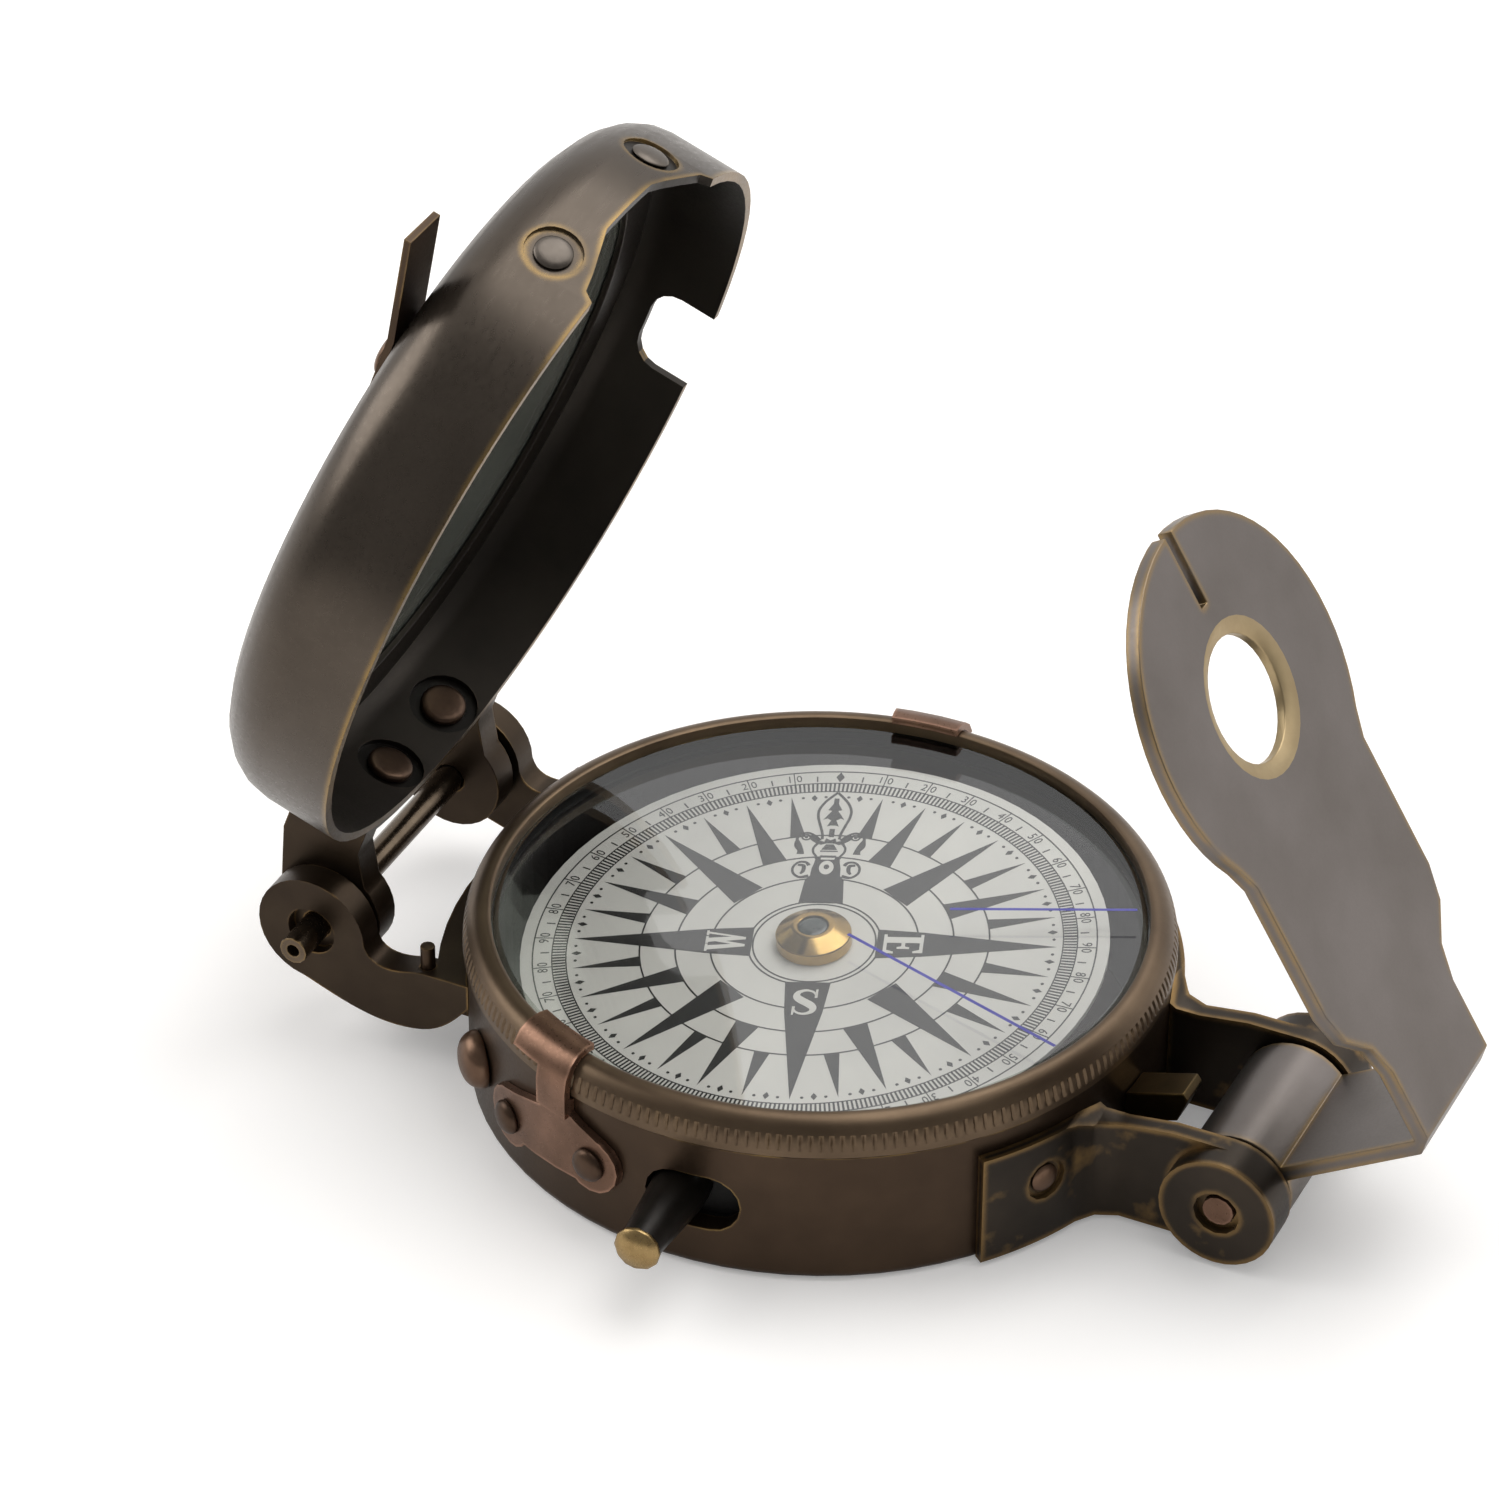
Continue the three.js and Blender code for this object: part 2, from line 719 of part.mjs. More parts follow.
// A clip has a foot with two riveted lobes, a neck up the wall and a hook over the bezel.
function bezelClip(turned) {
  const [left, right] = clipRivets;
  const neckLeft = clipNeckAcross - clipNeckHalfWidth;
  const neckRight = clipNeckAcross + clipNeckHalfWidth;
  const footTop = bezelBottom - slideGap;
  const lobe = (at) => arc(at.across, at.height, clipLobeRadius, 0, 360 - 360 / 16, 15);
  const sheet = ring(wallSeat, clipRadius, 1, footTop, bigSides);
  const reach = [caseRadius - 1, caseRadius + 2];
  const parts = [
    lobe(left),
    lobe(right),
    [
      [left.across, left.height - clipLobeRadius * 0.6],
      [right.across, right.height - clipLobeRadius * 0.8],
      [right.across + 1, right.height + clipLobeRadius * 0.9],
      [neckRight, right.height + clipLobeRadius + 1.2],
      [neckRight, footTop],
      [neckLeft, footTop],
      [neckLeft, left.height + clipLobeRadius + 1.4],
      [left.across - 1, left.height + clipLobeRadius * 0.9],
    ],
  ];
  let foot = prismRadial(parts[0], clipAzimuth, ...reach);
  for (const part of parts.slice(1)) foot = foot.add(prismRadial(part, clipAzimuth, ...reach));
  foot = foot.intersect(sheet);
  for (const at of clipRivets) {
    foot = foot.subtract(rivetHole(clipRivetAngle(at), at.height, clipRivetShank, ...reach));
  }

  const inner = bezelRadius + turnGap + fixedGap;
  const crest = lipRadius + lipCrest;
  const under = bezelOutside(4).map(([r, z], i) => {
    const lean = 90 * i / 4 * rad;
    const off = turnGap + fixedGap;
    return [r + off * Math.cos(lean), z + off * Math.sin(lean)];
  });
  const over = under.map(([r, z], i) => {
    const lean = 90 * i / 4 * rad;
    return [r + clipHookThickness * Math.cos(lean), z + clipHookThickness * Math.sin(lean)];
  });
  const hook = turn([
    [inner, footTop - 1.6],
    ...under,
    [crest - 0.7, bezelTop + turnGap],
    [crest - 0.7, bezelTop + turnGap + clipHookThickness],
    ...over.reverse(),
    [inner + clipHookThickness, footTop - 1.6],
  ], bigSides);
  const neckFrom = clipAzimuth + Math.asin(neckLeft / clipRadius) / rad;
  const neckTo = clipAzimuth + Math.asin(neckRight / clipRadius) / rad;
  const neck = hook.intersect(wedge(neckFrom, neckTo, 0, bezelTop + 2));
  const tab = hook.intersect(wedge(clipTabFrom, clipTabTo, clipTabHeight, bezelTop + 2));
  return foot.add(neck).add(tab).rotate([0, 0, turned]);
}

function clipRivet(at, turned) {
  const seat = clipRadius + fixedGap;
  const end = caseBore + fixedGap;
  const azimuth = clipRivetAngle(at) + turned;
  return rivet(azimuth, at.height, clipRivetHead, clipRivetRise, seat, clipRivetShank, end);
}

function wallRivet() {
  const end = caseBore + fixedGap;
  const [head, rise] = [wallRivetHead, wallRivetRise];
  return rivet(wallRivetAzimuth, wallRivetZ, head, rise, wallSeat, wallRivetShank, end);
}

function pinHole(radius, x, z, reach) {
  return rodY(radius, x, z, -reach, reach, smallSides);
}

// Two swan-necked arms and the web between them that hugs the case wall
function lidHingeBracket() {
  const x = lidHingeX;
  const z = lidHingeZ;
  const edges = [...smooth(lidArmLowerEdge, 21), ...lidArmWallEdge, ...smooth(lidArmUpperEdge, 12), [0, 0]];
  const outline = edges.map(([out, rise]) => [x + out, z + rise]);
  const arm = prismY(outline, lidArmInner, lidArmOuter);
  const boss = rodY(lidBossRadius, x, z, lidArmInner, lidArmOuter, 32);
  const recessFrom = lidArmOuter - lidBossRecessDepth;
  const recess = rodY(lidBossRecessRadius, x, z, recessFrom, lidArmOuter + 1, recessSides);
  const arms = bothSides(arm.add(boss).subtract(recess));
  const webSpan = [[x, -lidArmInner], [0, -lidArmInner], [0, lidArmInner], [x, lidArmInner]];
  const web = ring(wallSeat, wallSeat + lidWebThickness, lidWebBottom, lidWebTop, bigSides)
    .intersect(prismZ(webSpan, 0, bezelTop));
  let bracket = arms
    .add(web)
    .subtract(disc(wallSeat, 0, bezelTop, bigSides))
    .subtract(pinHole(lidPinRadius + fixedGap, x, z, lidArmOuter + 1));
  for (const side of [-1, 1]) {
    const azimuth = 180 + side * lidWebRivetAzimuth;
    const reach = [caseRadius - 1, caseRadius + lidWebThickness + 2];
    bracket = bracket.subtract(rivetHole(azimuth, lidWebRivetZ, lidWebRivetShank, ...reach));
    const pin = stopPinHole(side);
    bracket = bracket.subtract(pin);
  }
  return bracket;
}

function stopPinHole(side) {
  const centre = side * (lidArmInner + lidArmThickness / 2);
  return disc(stopPinRadius + fixedGap, lidHingeZ - stopPinSink, bezelTop, smallSides)
    .translate([lidHingeX + stopPinReach, centre, 0]);
}

function stopPin() {
  const centre = lidArmInner + lidArmThickness / 2;
  const foot = lidHingeZ - stopPinSink + fixedGap;
  return disc(stopPinRadius, foot, lidHingeZ + stopPinRise, smallSides)
    .translate([lidHingeX + stopPinReach, centre, 0]);
}

function lidWebRivet() {
  const seat = wallSeat + lidWebThickness + fixedGap;
  const end = caseBore + fixedGap;
  const [head, rise] = [lidWebRivetHead, lidWebRivetRise];
  return rivet(180 - lidWebRivetAzimuth, lidWebRivetZ, head, rise, seat, lidWebRivetShank, end);
}

function lidHingePin() {
  const end = lidArmOuter + lidPinStandOut;
  const floor = end - lidPinHoleDepth;
  return turnY([
    [0, -floor],
    [lidPinHoleRadius, -floor],
    [lidPinHoleRadius, -end],
    [lidPinRadius, -end],
    [lidPinRadius, end],
    [lidPinHoleRadius, end],
    [lidPinHoleRadius, floor],
    [0, floor],
  ], lidHingeX, lidHingeZ, smallSides);
}

function lidHingeWasher() {
  const from = earOuter + turnGap;
  const washer = rodY(lidWasherRadius, lidHingeX, lidHingeZ, from, from + lidWasherThickness, 24);
  return washer.subtract(pinHole(lidPinRadius + fixedGap, lidHingeX, lidHingeZ, lidArmOuter));
}

// The lid and what it carries are built as they lie on the closed case.
function lidShell() {
  const cornerZ = lidTop - lidCorner;
  const cornerR = lidRadius - lidCorner;
  let shell = turn([
    [lidRadius, lidRim],
    ...arc(cornerR, cornerZ, lidCorner, 0, 90, 5),
    [0, lidTop],
    [0, lidTop - lidWall],
    ...arc(cornerR, cornerZ, lidCorner - lidWall, 90, 0, 5),
    [lidBore, lidRim],
    [lidRadius, lidRim],
  ].reverse(), bigSides);

  const notch = lidNotchHalfWidth;
  const corner = lidNotchCorner;
  const notchTop = lidRim + lidNotchHeight;
  const notchOutline = [
    [-notch, lidRim - 1],
    [notch, lidRim - 1],
    ...arc(notch - corner, notchTop - corner, corner, 0, 90, 4),
    ...arc(corner - notch, notchTop - corner, corner, 90, 180, 4),
  ];
  shell = shell.subtract(prismRadial(notchOutline, lidNotchAzimuth, lidBore - 2, lidRadius + 1));

  for (const side of [-1, 1]) {
    const recess = [[0, lidRadius - recessDepth], [frontRecessRadius, lidRadius - recessDepth],
      [frontRecessRadius, lidRadius + 1], [0, lidRadius + 1]];
    const azimuth = side * frontRivetAzimuth;
    shell = shell
      .subtract(turnRadial(recess, azimuth, frontRivetZ, recessSides))
      .subtract(rivetHole(azimuth, frontRivetZ, frontRivetShank, lidBore - 2, lidRadius + 2));
  }
  for (const azimuth of earRivetAzimuths()) {
    const floor = lidBore + recessDepth;
    const recess = [[0, lidBore - 2], [earRecessRadius, lidBore - 2],
      [earRecessRadius, floor], [0, floor]];
    shell = shell
      .subtract(turnRadial(recess, azimuth, earRivetZ, recessSides))
      .subtract(rivetHole(azimuth, earRivetZ, earRivetShank, lidBore - 2, lidRadius + 2));
  }
  const frontOutline = [
    [-frontNotchOutline[0][0], lidRim - 1],
    [frontNotchOutline[0][0], lidRim - 1],
    ...frontNotchOutline.map(([across, rise]) => [across, lidRim + rise]),
    ...frontNotchOutline.map(([across, rise]) => [-across, lidRim + rise]).reverse(),
  ];
  const strapHole = disc(strapRivetShank + fixedGap, lidTop - 2, lidTop + 1, smallSides);
  return shell
    .subtract(prismRadial(frontOutline, 0, lidBore - 3, lidRadius + 1))
    .subtract(strapHole.translate([strapRivetX, strapY, 0]));
}

function earRivetAzimuths() {
  return [earRivetAzimuth - earRivetSpread, earRivetAzimuth + earRivetSpread];
}

function lidHingeEars() {
  const x = lidHingeX;
  const z = lidHingeZ;
  const reach = -lidRadius + 2;
  const plate = prismY([
    [x - earRadius / 4, z + earRadius * 0.95],
    [x, z],
    [x + earPlateFoot, z - earPlateFootDrop],
    [x + earPlateBottom, earWebBottom],
    [reach, earWebBottom],
    [reach, earWebTop],
    [x + earPlateTop, earWebTop],
  ], earInner, earOuter);
  const boss = rodY(earRadius, x, z, earInner, earOuter, 32);
  const webSpan = [[x, -earOuter], [0, -earOuter], [0, earOuter], [x, earOuter]];
  const web = ring(lidSeat, lidSeat + earWebThickness, earWebBottom, earWebTop, bigSides)
    .intersect(prismZ(webSpan, 0, lidTop));
  let ears = bothSides(plate.add(boss))
    .add(web)
    .subtract(disc(lidSeat, 0, lidTop, bigSides))
    .subtract(pinHole(lidPinRadius + turnGap, x, z, lidArmOuter));
  for (const azimuth of earRivetAzimuths()) {
    const out = lidSeat + earWebThickness + 1;
    ears = ears.subtract(rivetHole(azimuth, earRivetZ, earRivetShank, lidBore, out));
  }
  return ears;
}

function lidEarRivet(azimuth) {
  const seat = lidBore + recessDepth - turnGap;
  const face = seat - recessDepth - 0.3;
  const end = lidSeat + earWebThickness;
  return turnRadial([
    [0, face],
    [earRivetHead - 0.3, face],
    [earRivetHead, face + 0.25],
    [earRivetHead, seat],
    [earRivetShank, seat],
    [earRivetShank, end],
    [0, end],
  ], azimuth, earRivetZ, smallSides);
}

function lidWallRivet() {
  const seat = lidRadius - recessDepth + turnGap;
  const rise = recessDepth + turnGap;
  return rivet(frontRivetAzimuth, frontRivetZ, frontRivetHead, rise, seat, frontRivetShank, lidBore);
}

const mirrorTop = lidTop - lidWall - mirrorBackingThickness - 2 * turnGap;
const mirrorFace = mirrorTop - mirrorThickness;

function mirrorRing() {
  const top = mirrorFace - turnGap;
  return ring(mirrorRingInner, mirrorRingOuter, top - mirrorRingThickness, top, bigSides);
}

function lidStrap() {
  const bottom = lidTop + turnGap;
  const strip = prismY([
    [strapStartX, bottom],
    [strapBendX, bottom],
    [strapEndX, bottom + strapLift],
    [strapEndX, bottom + strapLift + strapThickness],
    [strapBendX, bottom + strapThickness],
    [strapStartX, bottom + strapThickness],
  ], strapY - strapWidth / 2, strapY + strapWidth / 2);
  const hole = disc(strapRivetShank + fixedGap, lidTop - 2, lidTop + 3, smallSides);
  return strip.subtract(hole.translate([strapRivetX, strapY, 0]));
}

function lidStrapRivet() {
  const seat = lidTop + 2 * turnGap + strapThickness;
  const end = lidTop - lidWall;
  return turn(rivetProfile(strapRivetHead, strapRivetRise, seat, strapRivetShank, end), smallSides)
    .translate([strapRivetX, strapY, 0]);
}

// A bracket of the leaf's hinge: a foot on the wall that turns out into an arm with a boss
function leafBracket() {
  const armOuter = leafArmInner + leafArmThickness;
  const footRadius = wallSeat + leafFootThickness;
  const footFrom = Math.asin(leafFootNear / wallSeat) / rad;
  const footTo = Math.asin(leafFootAcross / wallSeat) / rad;
  const bendAzimuth = Math.asin(leafBendAcross / footRadius) / rad;
  const bendX = footRadius * Math.cos(bendAzimuth * rad);
  const armStart = wallSeat + leafArmLead;
  const plan = prismZ([
    ...arc(0, 0, wallSeat - 1, footTo, footFrom, 12),
    [wallSeat - 1, leafArmInner],
    [leafHingeX, leafArmInner],
    [leafHingeX, armOuter],
    [armStart, armOuter],
    [(armStart + bendX) / 2 - leafBendPull, (armOuter + leafBendAcross) / 2 - leafBendPull],
    ...arc(0, 0, footRadius, bendAzimuth, footTo, 12),
  ], leafArmBottom, leafFootTop);
  const side = prismY([
    [0, leafArmBottom],
    [leafHingeX, leafHingeZ - leafBossRadius],
    [leafHingeX, leafHingeZ + leafBossRadius],
    [leafHingeX - leafArmNeck, leafArmTop + leafArmNeckRise],
    [armStart, leafArmTop],
    [armStart - leafBendPull - leafArmLead, leafArmTop],
    [armStart - 2 * leafArmLead, leafFootTop],
    [0, leafFootTop],
  ], 0, caseRadius);
  const boss = rodY(leafBossRadius, leafHingeX, leafHingeZ, leafArmInner, leafBossOuter, 32);
  const recess = rodY(
    leafBossRecessRadius,
    leafHingeX,
    leafHingeZ,
    leafBossOuter - leafBossRecessDepth,
    leafBossOuter + 1,
    smallSides,
  );
  const rivetFloor = footRadius - leafRecessDepth;
  const rivetRecess = turnRadial([
    [0, rivetFloor],
    [leafRecessRadius, rivetFloor],
    [leafRecessRadius, footRadius + 1],
    [0, footRadius + 1],
  ], leafRivetAzimuth, leafRivetZ, smallSides);
  return plan
    .intersect(side)
    .add(boss)
    .subtract(recess)
    .subtract(disc(wallSeat, 0, bezelTop, bigSides))
    .subtract(pinHole(leafPinRadius + fixedGap, leafHingeX, leafHingeZ, leafBossOuter + 1))
    .subtract(rivetRecess)
    .subtract(rivetHole(leafRivetAzimuth, leafRivetZ, leafRivetShank, caseBore, footRadius + 1));
}

function leafRivet() {
  const seat = wallSeat + leafFootThickness - leafRecessDepth + fixedGap;
  const end = caseBore + fixedGap;
  const [head, rise] = [leafRivetHead, leafRivetRise];
  return rivet(leafRivetAzimuth, leafRivetZ, head, rise, seat, leafRivetShank, end);
}

function leafHingePin() {
  const end = leafBossOuter - leafPinSink;
  return rodY(leafPinRadius, leafHingeX, leafHingeZ, -end, end, smallSides);
}

function leafWasher() {
  const from = leafKnuckleHalf + turnGap;
  const washer = rodY(leafWasherRadius, leafHingeX, leafHingeZ, from, from + leafWasherThickness, 24);
  return washer.subtract(pinHole(leafPinRadius + fixedGap, leafHingeX, leafHingeZ, leafBossOuter));
}

// The leaf is built as it lies folded over the closed lid: a knuckle, a leg up and a plate.
function sightLeaf() {
  const centreX = leafHingeX - leafReach;
  const top = leafHingeZ + leafOffset + leafThickness / 2;
  const bottom = top - leafThickness;
  const half = leafThickness / 2;
  const join = Math.asin(leafTongueHalf / leafDiscRadius) / rad;
  const tongueX = centreX + leafTongueLength;
  const neckX = tongueX + leafNeckLength;
  const middle = (leafTongueHalf + leafKnuckleHalf) / 2;
  const edge = [
    ...arc(centreX, 0, leafDiscRadius, 180, join + 6, 20),
    [centreX + leafDiscRadius * Math.cos(join * rad) + leafShoulder, leafTongueHalf],
    [tongueX, leafTongueHalf],
    [tongueX + leafNeckLength * 0.35, leafTongueHalf - leafShoulder],
    [tongueX + leafNeckLength / 2, middle],
    [neckX - leafNeckLength * 0.35, leafKnuckleHalf + leafShoulder],
    [neckX, leafKnuckleHalf],
    [leafHingeX - leafLegLap / 2, leafKnuckleHalf],
  ];
  const otherEdge = edge.slice(1).reverse().map(([x, y]) => [x, -y]);
  const plate = prismZ([...edge, ...otherEdge], bottom, top);
  const leg = prismY([
    [leafHingeX - half, leafHingeZ + leafPinRadius * 2],
    [leafHingeX + half, leafHingeZ + leafPinRadius * 2],
    [leafHingeX + half, top - leafLegCorner],
    [leafHingeX + half - leafLegCorner, top],
    [leafHingeX - leafLegLap, top],
    [leafHingeX - leafLegLap, bottom],
    [leafHingeX - half, bottom],
  ], -leafKnuckleHalf, leafKnuckleHalf);
  const knuckle = rodY(
    leafKnuckleRadius,
    leafHingeX,
    leafHingeZ,
    -leafKnuckleHalf,
    leafKnuckleHalf,
    32,
  );
  const hole = turn([
    [0, bottom - 1],
    [leafHoleRadius, bottom - 1],
    [leafHoleRadius, top - leafBevelDepth],
    [leafBevelRadius, top],
    [leafBevelRadius, top + 1],
    [0, top + 1],
  ], middleSides).translate([centreX, 0, 0]);
  const slotStart = centreX - leafDiscRadius;
  const slot = prismZ([
    [slotStart - 1, -leafSlotWidth / 2],
    [slotStart + leafSlotLength, -leafSlotWidth / 2],
    [slotStart + leafSlotLength, leafSlotWidth / 2],
    [slotStart - 1, leafSlotWidth / 2],
  ], bottom - 1, top + 1);
  return plate
    .add(leg)
    .add(knuckle)
    .subtract(hole)
    .subtract(slot)
    .subtract(pinHole(leafPinRadius + turnGap, leafHingeX, leafHingeZ, leafBossOuter));
}

// A small tab on the wall that the closed lid's front notch comes down on
function lidRestTab() {
  const end = wallSeat + restTabReach;
  return prismY([
    [wallSeat - 1, restTabBottom - 0.3],
    [end - 0.8, restTabBottom + restTabRise],
    [end, restTabBottom + restTabRise + restTabHeight * 0.8],
    [end - 0.4, restTabBottom + restTabRise + restTabHeight],
    [wallSeat - 1, restTabBottom + restTabHeight - 0.3],
  ], restTabY - restTabWidth / 2, restTabY + restTabWidth / 2)
    .subtract(disc(wallSeat, 0, caseShoulder, bigSides));
}

const compass = new THREE.Group();

place(compass, 'case_body', caseBody(), bronze);
place(compass, 'dial_ring', dialRing(), steel);
place(compass, 'pivot_pin', pivotPin(), brass);
place(compass, 'lifter_base', lifterBase(), brass);
place(compass, 'lifter_screw', lifterScrew(), steel);
place(compass, 'card_lifter', cardLifter(), brass);
place(compass, 'lock_slide', lockSlide(), copper);
place(compass, 'lock_post', lockPost(), black);
place(compass, 'lock_knob', lockKnob(), brass);
place(compass, 'bezel_ring', bezelRing(), bezelBronze);
place(compass, 'crystal', crystal(), glass);
place(compass, 'crystal_gasket', crystalGasket(), rubber);
place(compass, 'bezel_clip_front', bezelClip(0), copper);
place(compass, 'bezel_clip_back', bezelClip(clipTurn), copper);
clipRivets.forEach((at, i) => {
  place(compass, `clip_rivet_front_${i + 1}`, clipRivet(at, 0), copper);
  place(compass, `clip_rivet_back_${i + 1}`, clipRivet(at, clipTurn), copper);
});
placePair(compass, 'wall_rivet', wallRivet(), copper);
place(compass, 'lid_hinge_bracket', lidHingeBracket(), bronze);
placePair(compass, 'lid_bracket_rivet', lidWebRivet(), copper);
placePair(compass, 'lid_stop_pin', stopPin(), bronze);
place(compass, 'lid_hinge_pin', lidHingePin(), copper);
placePair(compass, 'lid_hinge_washer', lidHingeWasher(), steel);
placePair(compass, 'leaf_bracket', leafBracket(), bronze);
placePair(compass, 'leaf_bracket_rivet', leafRivet(), copper);
place(compass, 'leaf_hinge_pin', leafHingePin(), copper);
placePair(compass, 'leaf_hinge_washer', leafWasher(), brass);
place(compass, 'lid_rest_tab', lidRestTab(), brass);

// The card hangs a little askew on the tip of its pivot.
const card = new THREE.Group();
const up = new THREE.Vector3(
  -Math.sin(cardTiltAzimuth * rad),
  Math.cos(cardTiltAzimuth * rad),
  0,
);
card.position.set(pivotX, pivotY, pivotZ);
card.quaternion.setFromAxisAngle(up, -cardTilt * rad);
compass.add(card);
place(card, 'compass_card', compassCard(), cardStock);
place(card, 'card_cap', cardCap(), brass);
place(card, 'cap_jewel', capJewel(), jewel);
place(card, 'card_magnet_west', cardMagnet().rotate([0, 0, cardNorth]), steel);
place(card, 'card_magnet_east', cardMagnet().rotate([0, 0, cardNorth + 180]), steel);

// The lid is turned up about its hinge pin.
const lid = new THREE.Group();
const lidOrigin = [lidHingeX, 0, lidHingeZ];
lid.position.set(...lidOrigin);
lid.rotation.y = -lidOpen * rad;
compass.add(lid);
const backing = disc(mirrorRadius - 1.4, mirrorTop + turnGap, lidTop - lidWall - turnGap, middleSides);
place(lid, 'lid_shell', lidShell(), bronze, lidOrigin);
place(lid, 'mirror_backing', backing, felt, lidOrigin);
place(lid, 'lid_mirror', disc(mirrorRadius, mirrorFace, mirrorTop, bigSides), silver, lidOrigin);
place(lid, 'mirror_ring', mirrorRing(), bronze, lidOrigin);
place(lid, 'lid_hinge_ears', lidHingeEars(), bronze, lidOrigin);
earRivetAzimuths().forEach((azimuth, i) => {
  place(lid, `lid_ear_rivet_${i + 1}`, lidEarRivet(azimuth), copper, lidOrigin);
});
placePair(lid, 'lid_wall_rivet', lidWallRivet(), copper, lidOrigin);
place(lid, 'lid_strap', lidStrap(), bronze, lidOrigin);
place(lid, 'lid_strap_rivet', lidStrapRivet(), copper, lidOrigin);

// The sight leaf is turned up about its own pin.
const leaf = new THREE.Group();
const leafOrigin = [leafHingeX, 0, leafHingeZ];
leaf.position.set(...leafOrigin);
leaf.rotation.y = leafOpen * rad;
compass.add(leaf);
place(leaf, 'sight_leaf', sightLeaf(), bronze, leafOrigin);

export default compass;
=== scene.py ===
"""A pocket compass: its finishes and fine shapes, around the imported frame.

Lengths are millimetres where a name ends in _mm, and in the outlines; MM turns them into metres.
"""

import json
import math

import bpy
from mathutils import Matrix, Vector


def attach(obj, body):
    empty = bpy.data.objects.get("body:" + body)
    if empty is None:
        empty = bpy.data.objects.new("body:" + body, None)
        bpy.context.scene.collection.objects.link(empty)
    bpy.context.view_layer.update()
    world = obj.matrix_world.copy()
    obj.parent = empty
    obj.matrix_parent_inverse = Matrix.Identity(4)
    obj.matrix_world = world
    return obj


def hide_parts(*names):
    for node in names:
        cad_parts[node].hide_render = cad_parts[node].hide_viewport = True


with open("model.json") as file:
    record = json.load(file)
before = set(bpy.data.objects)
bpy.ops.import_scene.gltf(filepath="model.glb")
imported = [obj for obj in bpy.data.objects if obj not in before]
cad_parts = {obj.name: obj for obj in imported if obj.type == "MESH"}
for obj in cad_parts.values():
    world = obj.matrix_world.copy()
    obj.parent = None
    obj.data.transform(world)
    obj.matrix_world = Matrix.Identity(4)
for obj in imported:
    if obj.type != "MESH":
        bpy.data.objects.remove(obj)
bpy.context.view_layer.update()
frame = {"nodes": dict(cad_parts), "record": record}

bl_info = {
    "name": "Pocket Compass",
    "version": (1, 0, 0),
    "blender": (4, 5, 0),
    "location": "View3D > Sidebar > Compass",
    "description": "Dresses the packed pocket compass and sets its stage",
    "category": "Object",
}

MM = 0.001
RIVETS = [name for name in frame["nodes"] if "rivet" in name]
CLIP_NODES = ["bezel_clip_front", "bezel_clip_back"]
CAST_NODES = [
    "case_body", "lid_shell", "lid_hinge_bracket", "lid_hinge_ears", "sight_leaf",
    "leaf_bracket_front", "leaf_bracket_back", "mirror_ring", "lid_strap", "lid_rest_tab",
]
PIN_NODES = [
    "lid_hinge_pin", "leaf_hinge_pin", "lid_stop_pin_front", "lid_stop_pin_back",
    "lid_hinge_washer_front", "lid_hinge_washer_back",
    "leaf_hinge_washer_front", "leaf_hinge_washer_back", "lock_post", "lock_knob",
]
# Where a piece is duller, darker, blacker or lighter than its material slot's plain finish, some of it
# painted shade, shadow, reflection and highlight
OWN_FINISH = {
    "dial_ring": "lacquer", "lock_slide": "lacquer", "pivot_pin": "lacquer", "lid_shell": "lid",
    "mirror_ring": "shaded_inside", "sight_leaf": "leaf", "lock_knob": "dull_brass",
    # The rest tab is painted dark: painted shadow.
    "lid_rest_tab": "shadowed_brass",
    "lid_hinge_pin": "pin", "lid_hinge_bracket": "aged", "lid_hinge_ears": "aged",
    "lid_ear_rivet_1": "dark_copper", "lid_ear_rivet_2": "dark_copper",
    "lid_wall_rivet_front": "grey_rivet", "lid_wall_rivet_back": "grey_rivet",
    # The leaf's brackets: rubbed brass patches, partly painted highlight.
    "leaf_bracket_front": "wear_and_highlight", "leaf_bracket_back": "wear_and_highlight",
    "lid_hinge_washer_front": "grey_rivet", "lid_hinge_washer_back": "grey_rivet",
    "leaf_hinge_washer_front": "dull_brass", "leaf_hinge_washer_back": "dull_brass",
}
# The body that each CAD node moves with, and its material slot
BODY_OF = {
    node: body
    for body, nodes in frame["record"]["behaviour"]["bodies"].items()
    for node in nodes
}
SLOT_OF = {entry["node"]: entry["material_slot"] for entry in frame["record"]["subparts"]}


def linear(code):
    """An sRGB hex colour as linear red, green, blue and alpha."""
    channels = [int(code[i:i + 2], 16) / 255 for i in (1, 3, 5)]
    return [c / 12.92 if c <= 0.04045 else ((c + 0.055) / 1.055) ** 2.4 for c in channels] + [1.0]


def colour_property(code, name, description):
    """A colour setting whose default is an sRGB hex colour."""
    return bpy.props.FloatVectorProperty(
        name=name, description=description, default=linear(code), size=4, min=0, max=1, subtype="COLOR"
    )


def length_property(millimetres, name, description):
    """A length setting whose default is given in millimetres."""
    return bpy.props.FloatProperty(
        name=name, description=description, default=millimetres * MM, min=0, precision=5, unit="LENGTH"
    )


class CompassSizes(bpy.types.PropertyGroup):
    """Sizes of the pieces that are made here."""

    edge_round: length_property(0.1, "Edge rounding", "Width of the rounding on the edges of the metal")
    bezel_teeth: bpy.props.IntProperty(
        name="Bezel teeth", description="Serrations round the bezel", default=220, min=12
    )
    tooth_depth: length_property(0.16, "Tooth depth", "Depth of the bezel's serrations")
    ink_thickness: length_property(0.02, "Ink thickness", "How far the printing stands off the dial")
    line_width: length_property(0.3, "Painted line width", "Width of the lines painted on the crystal")


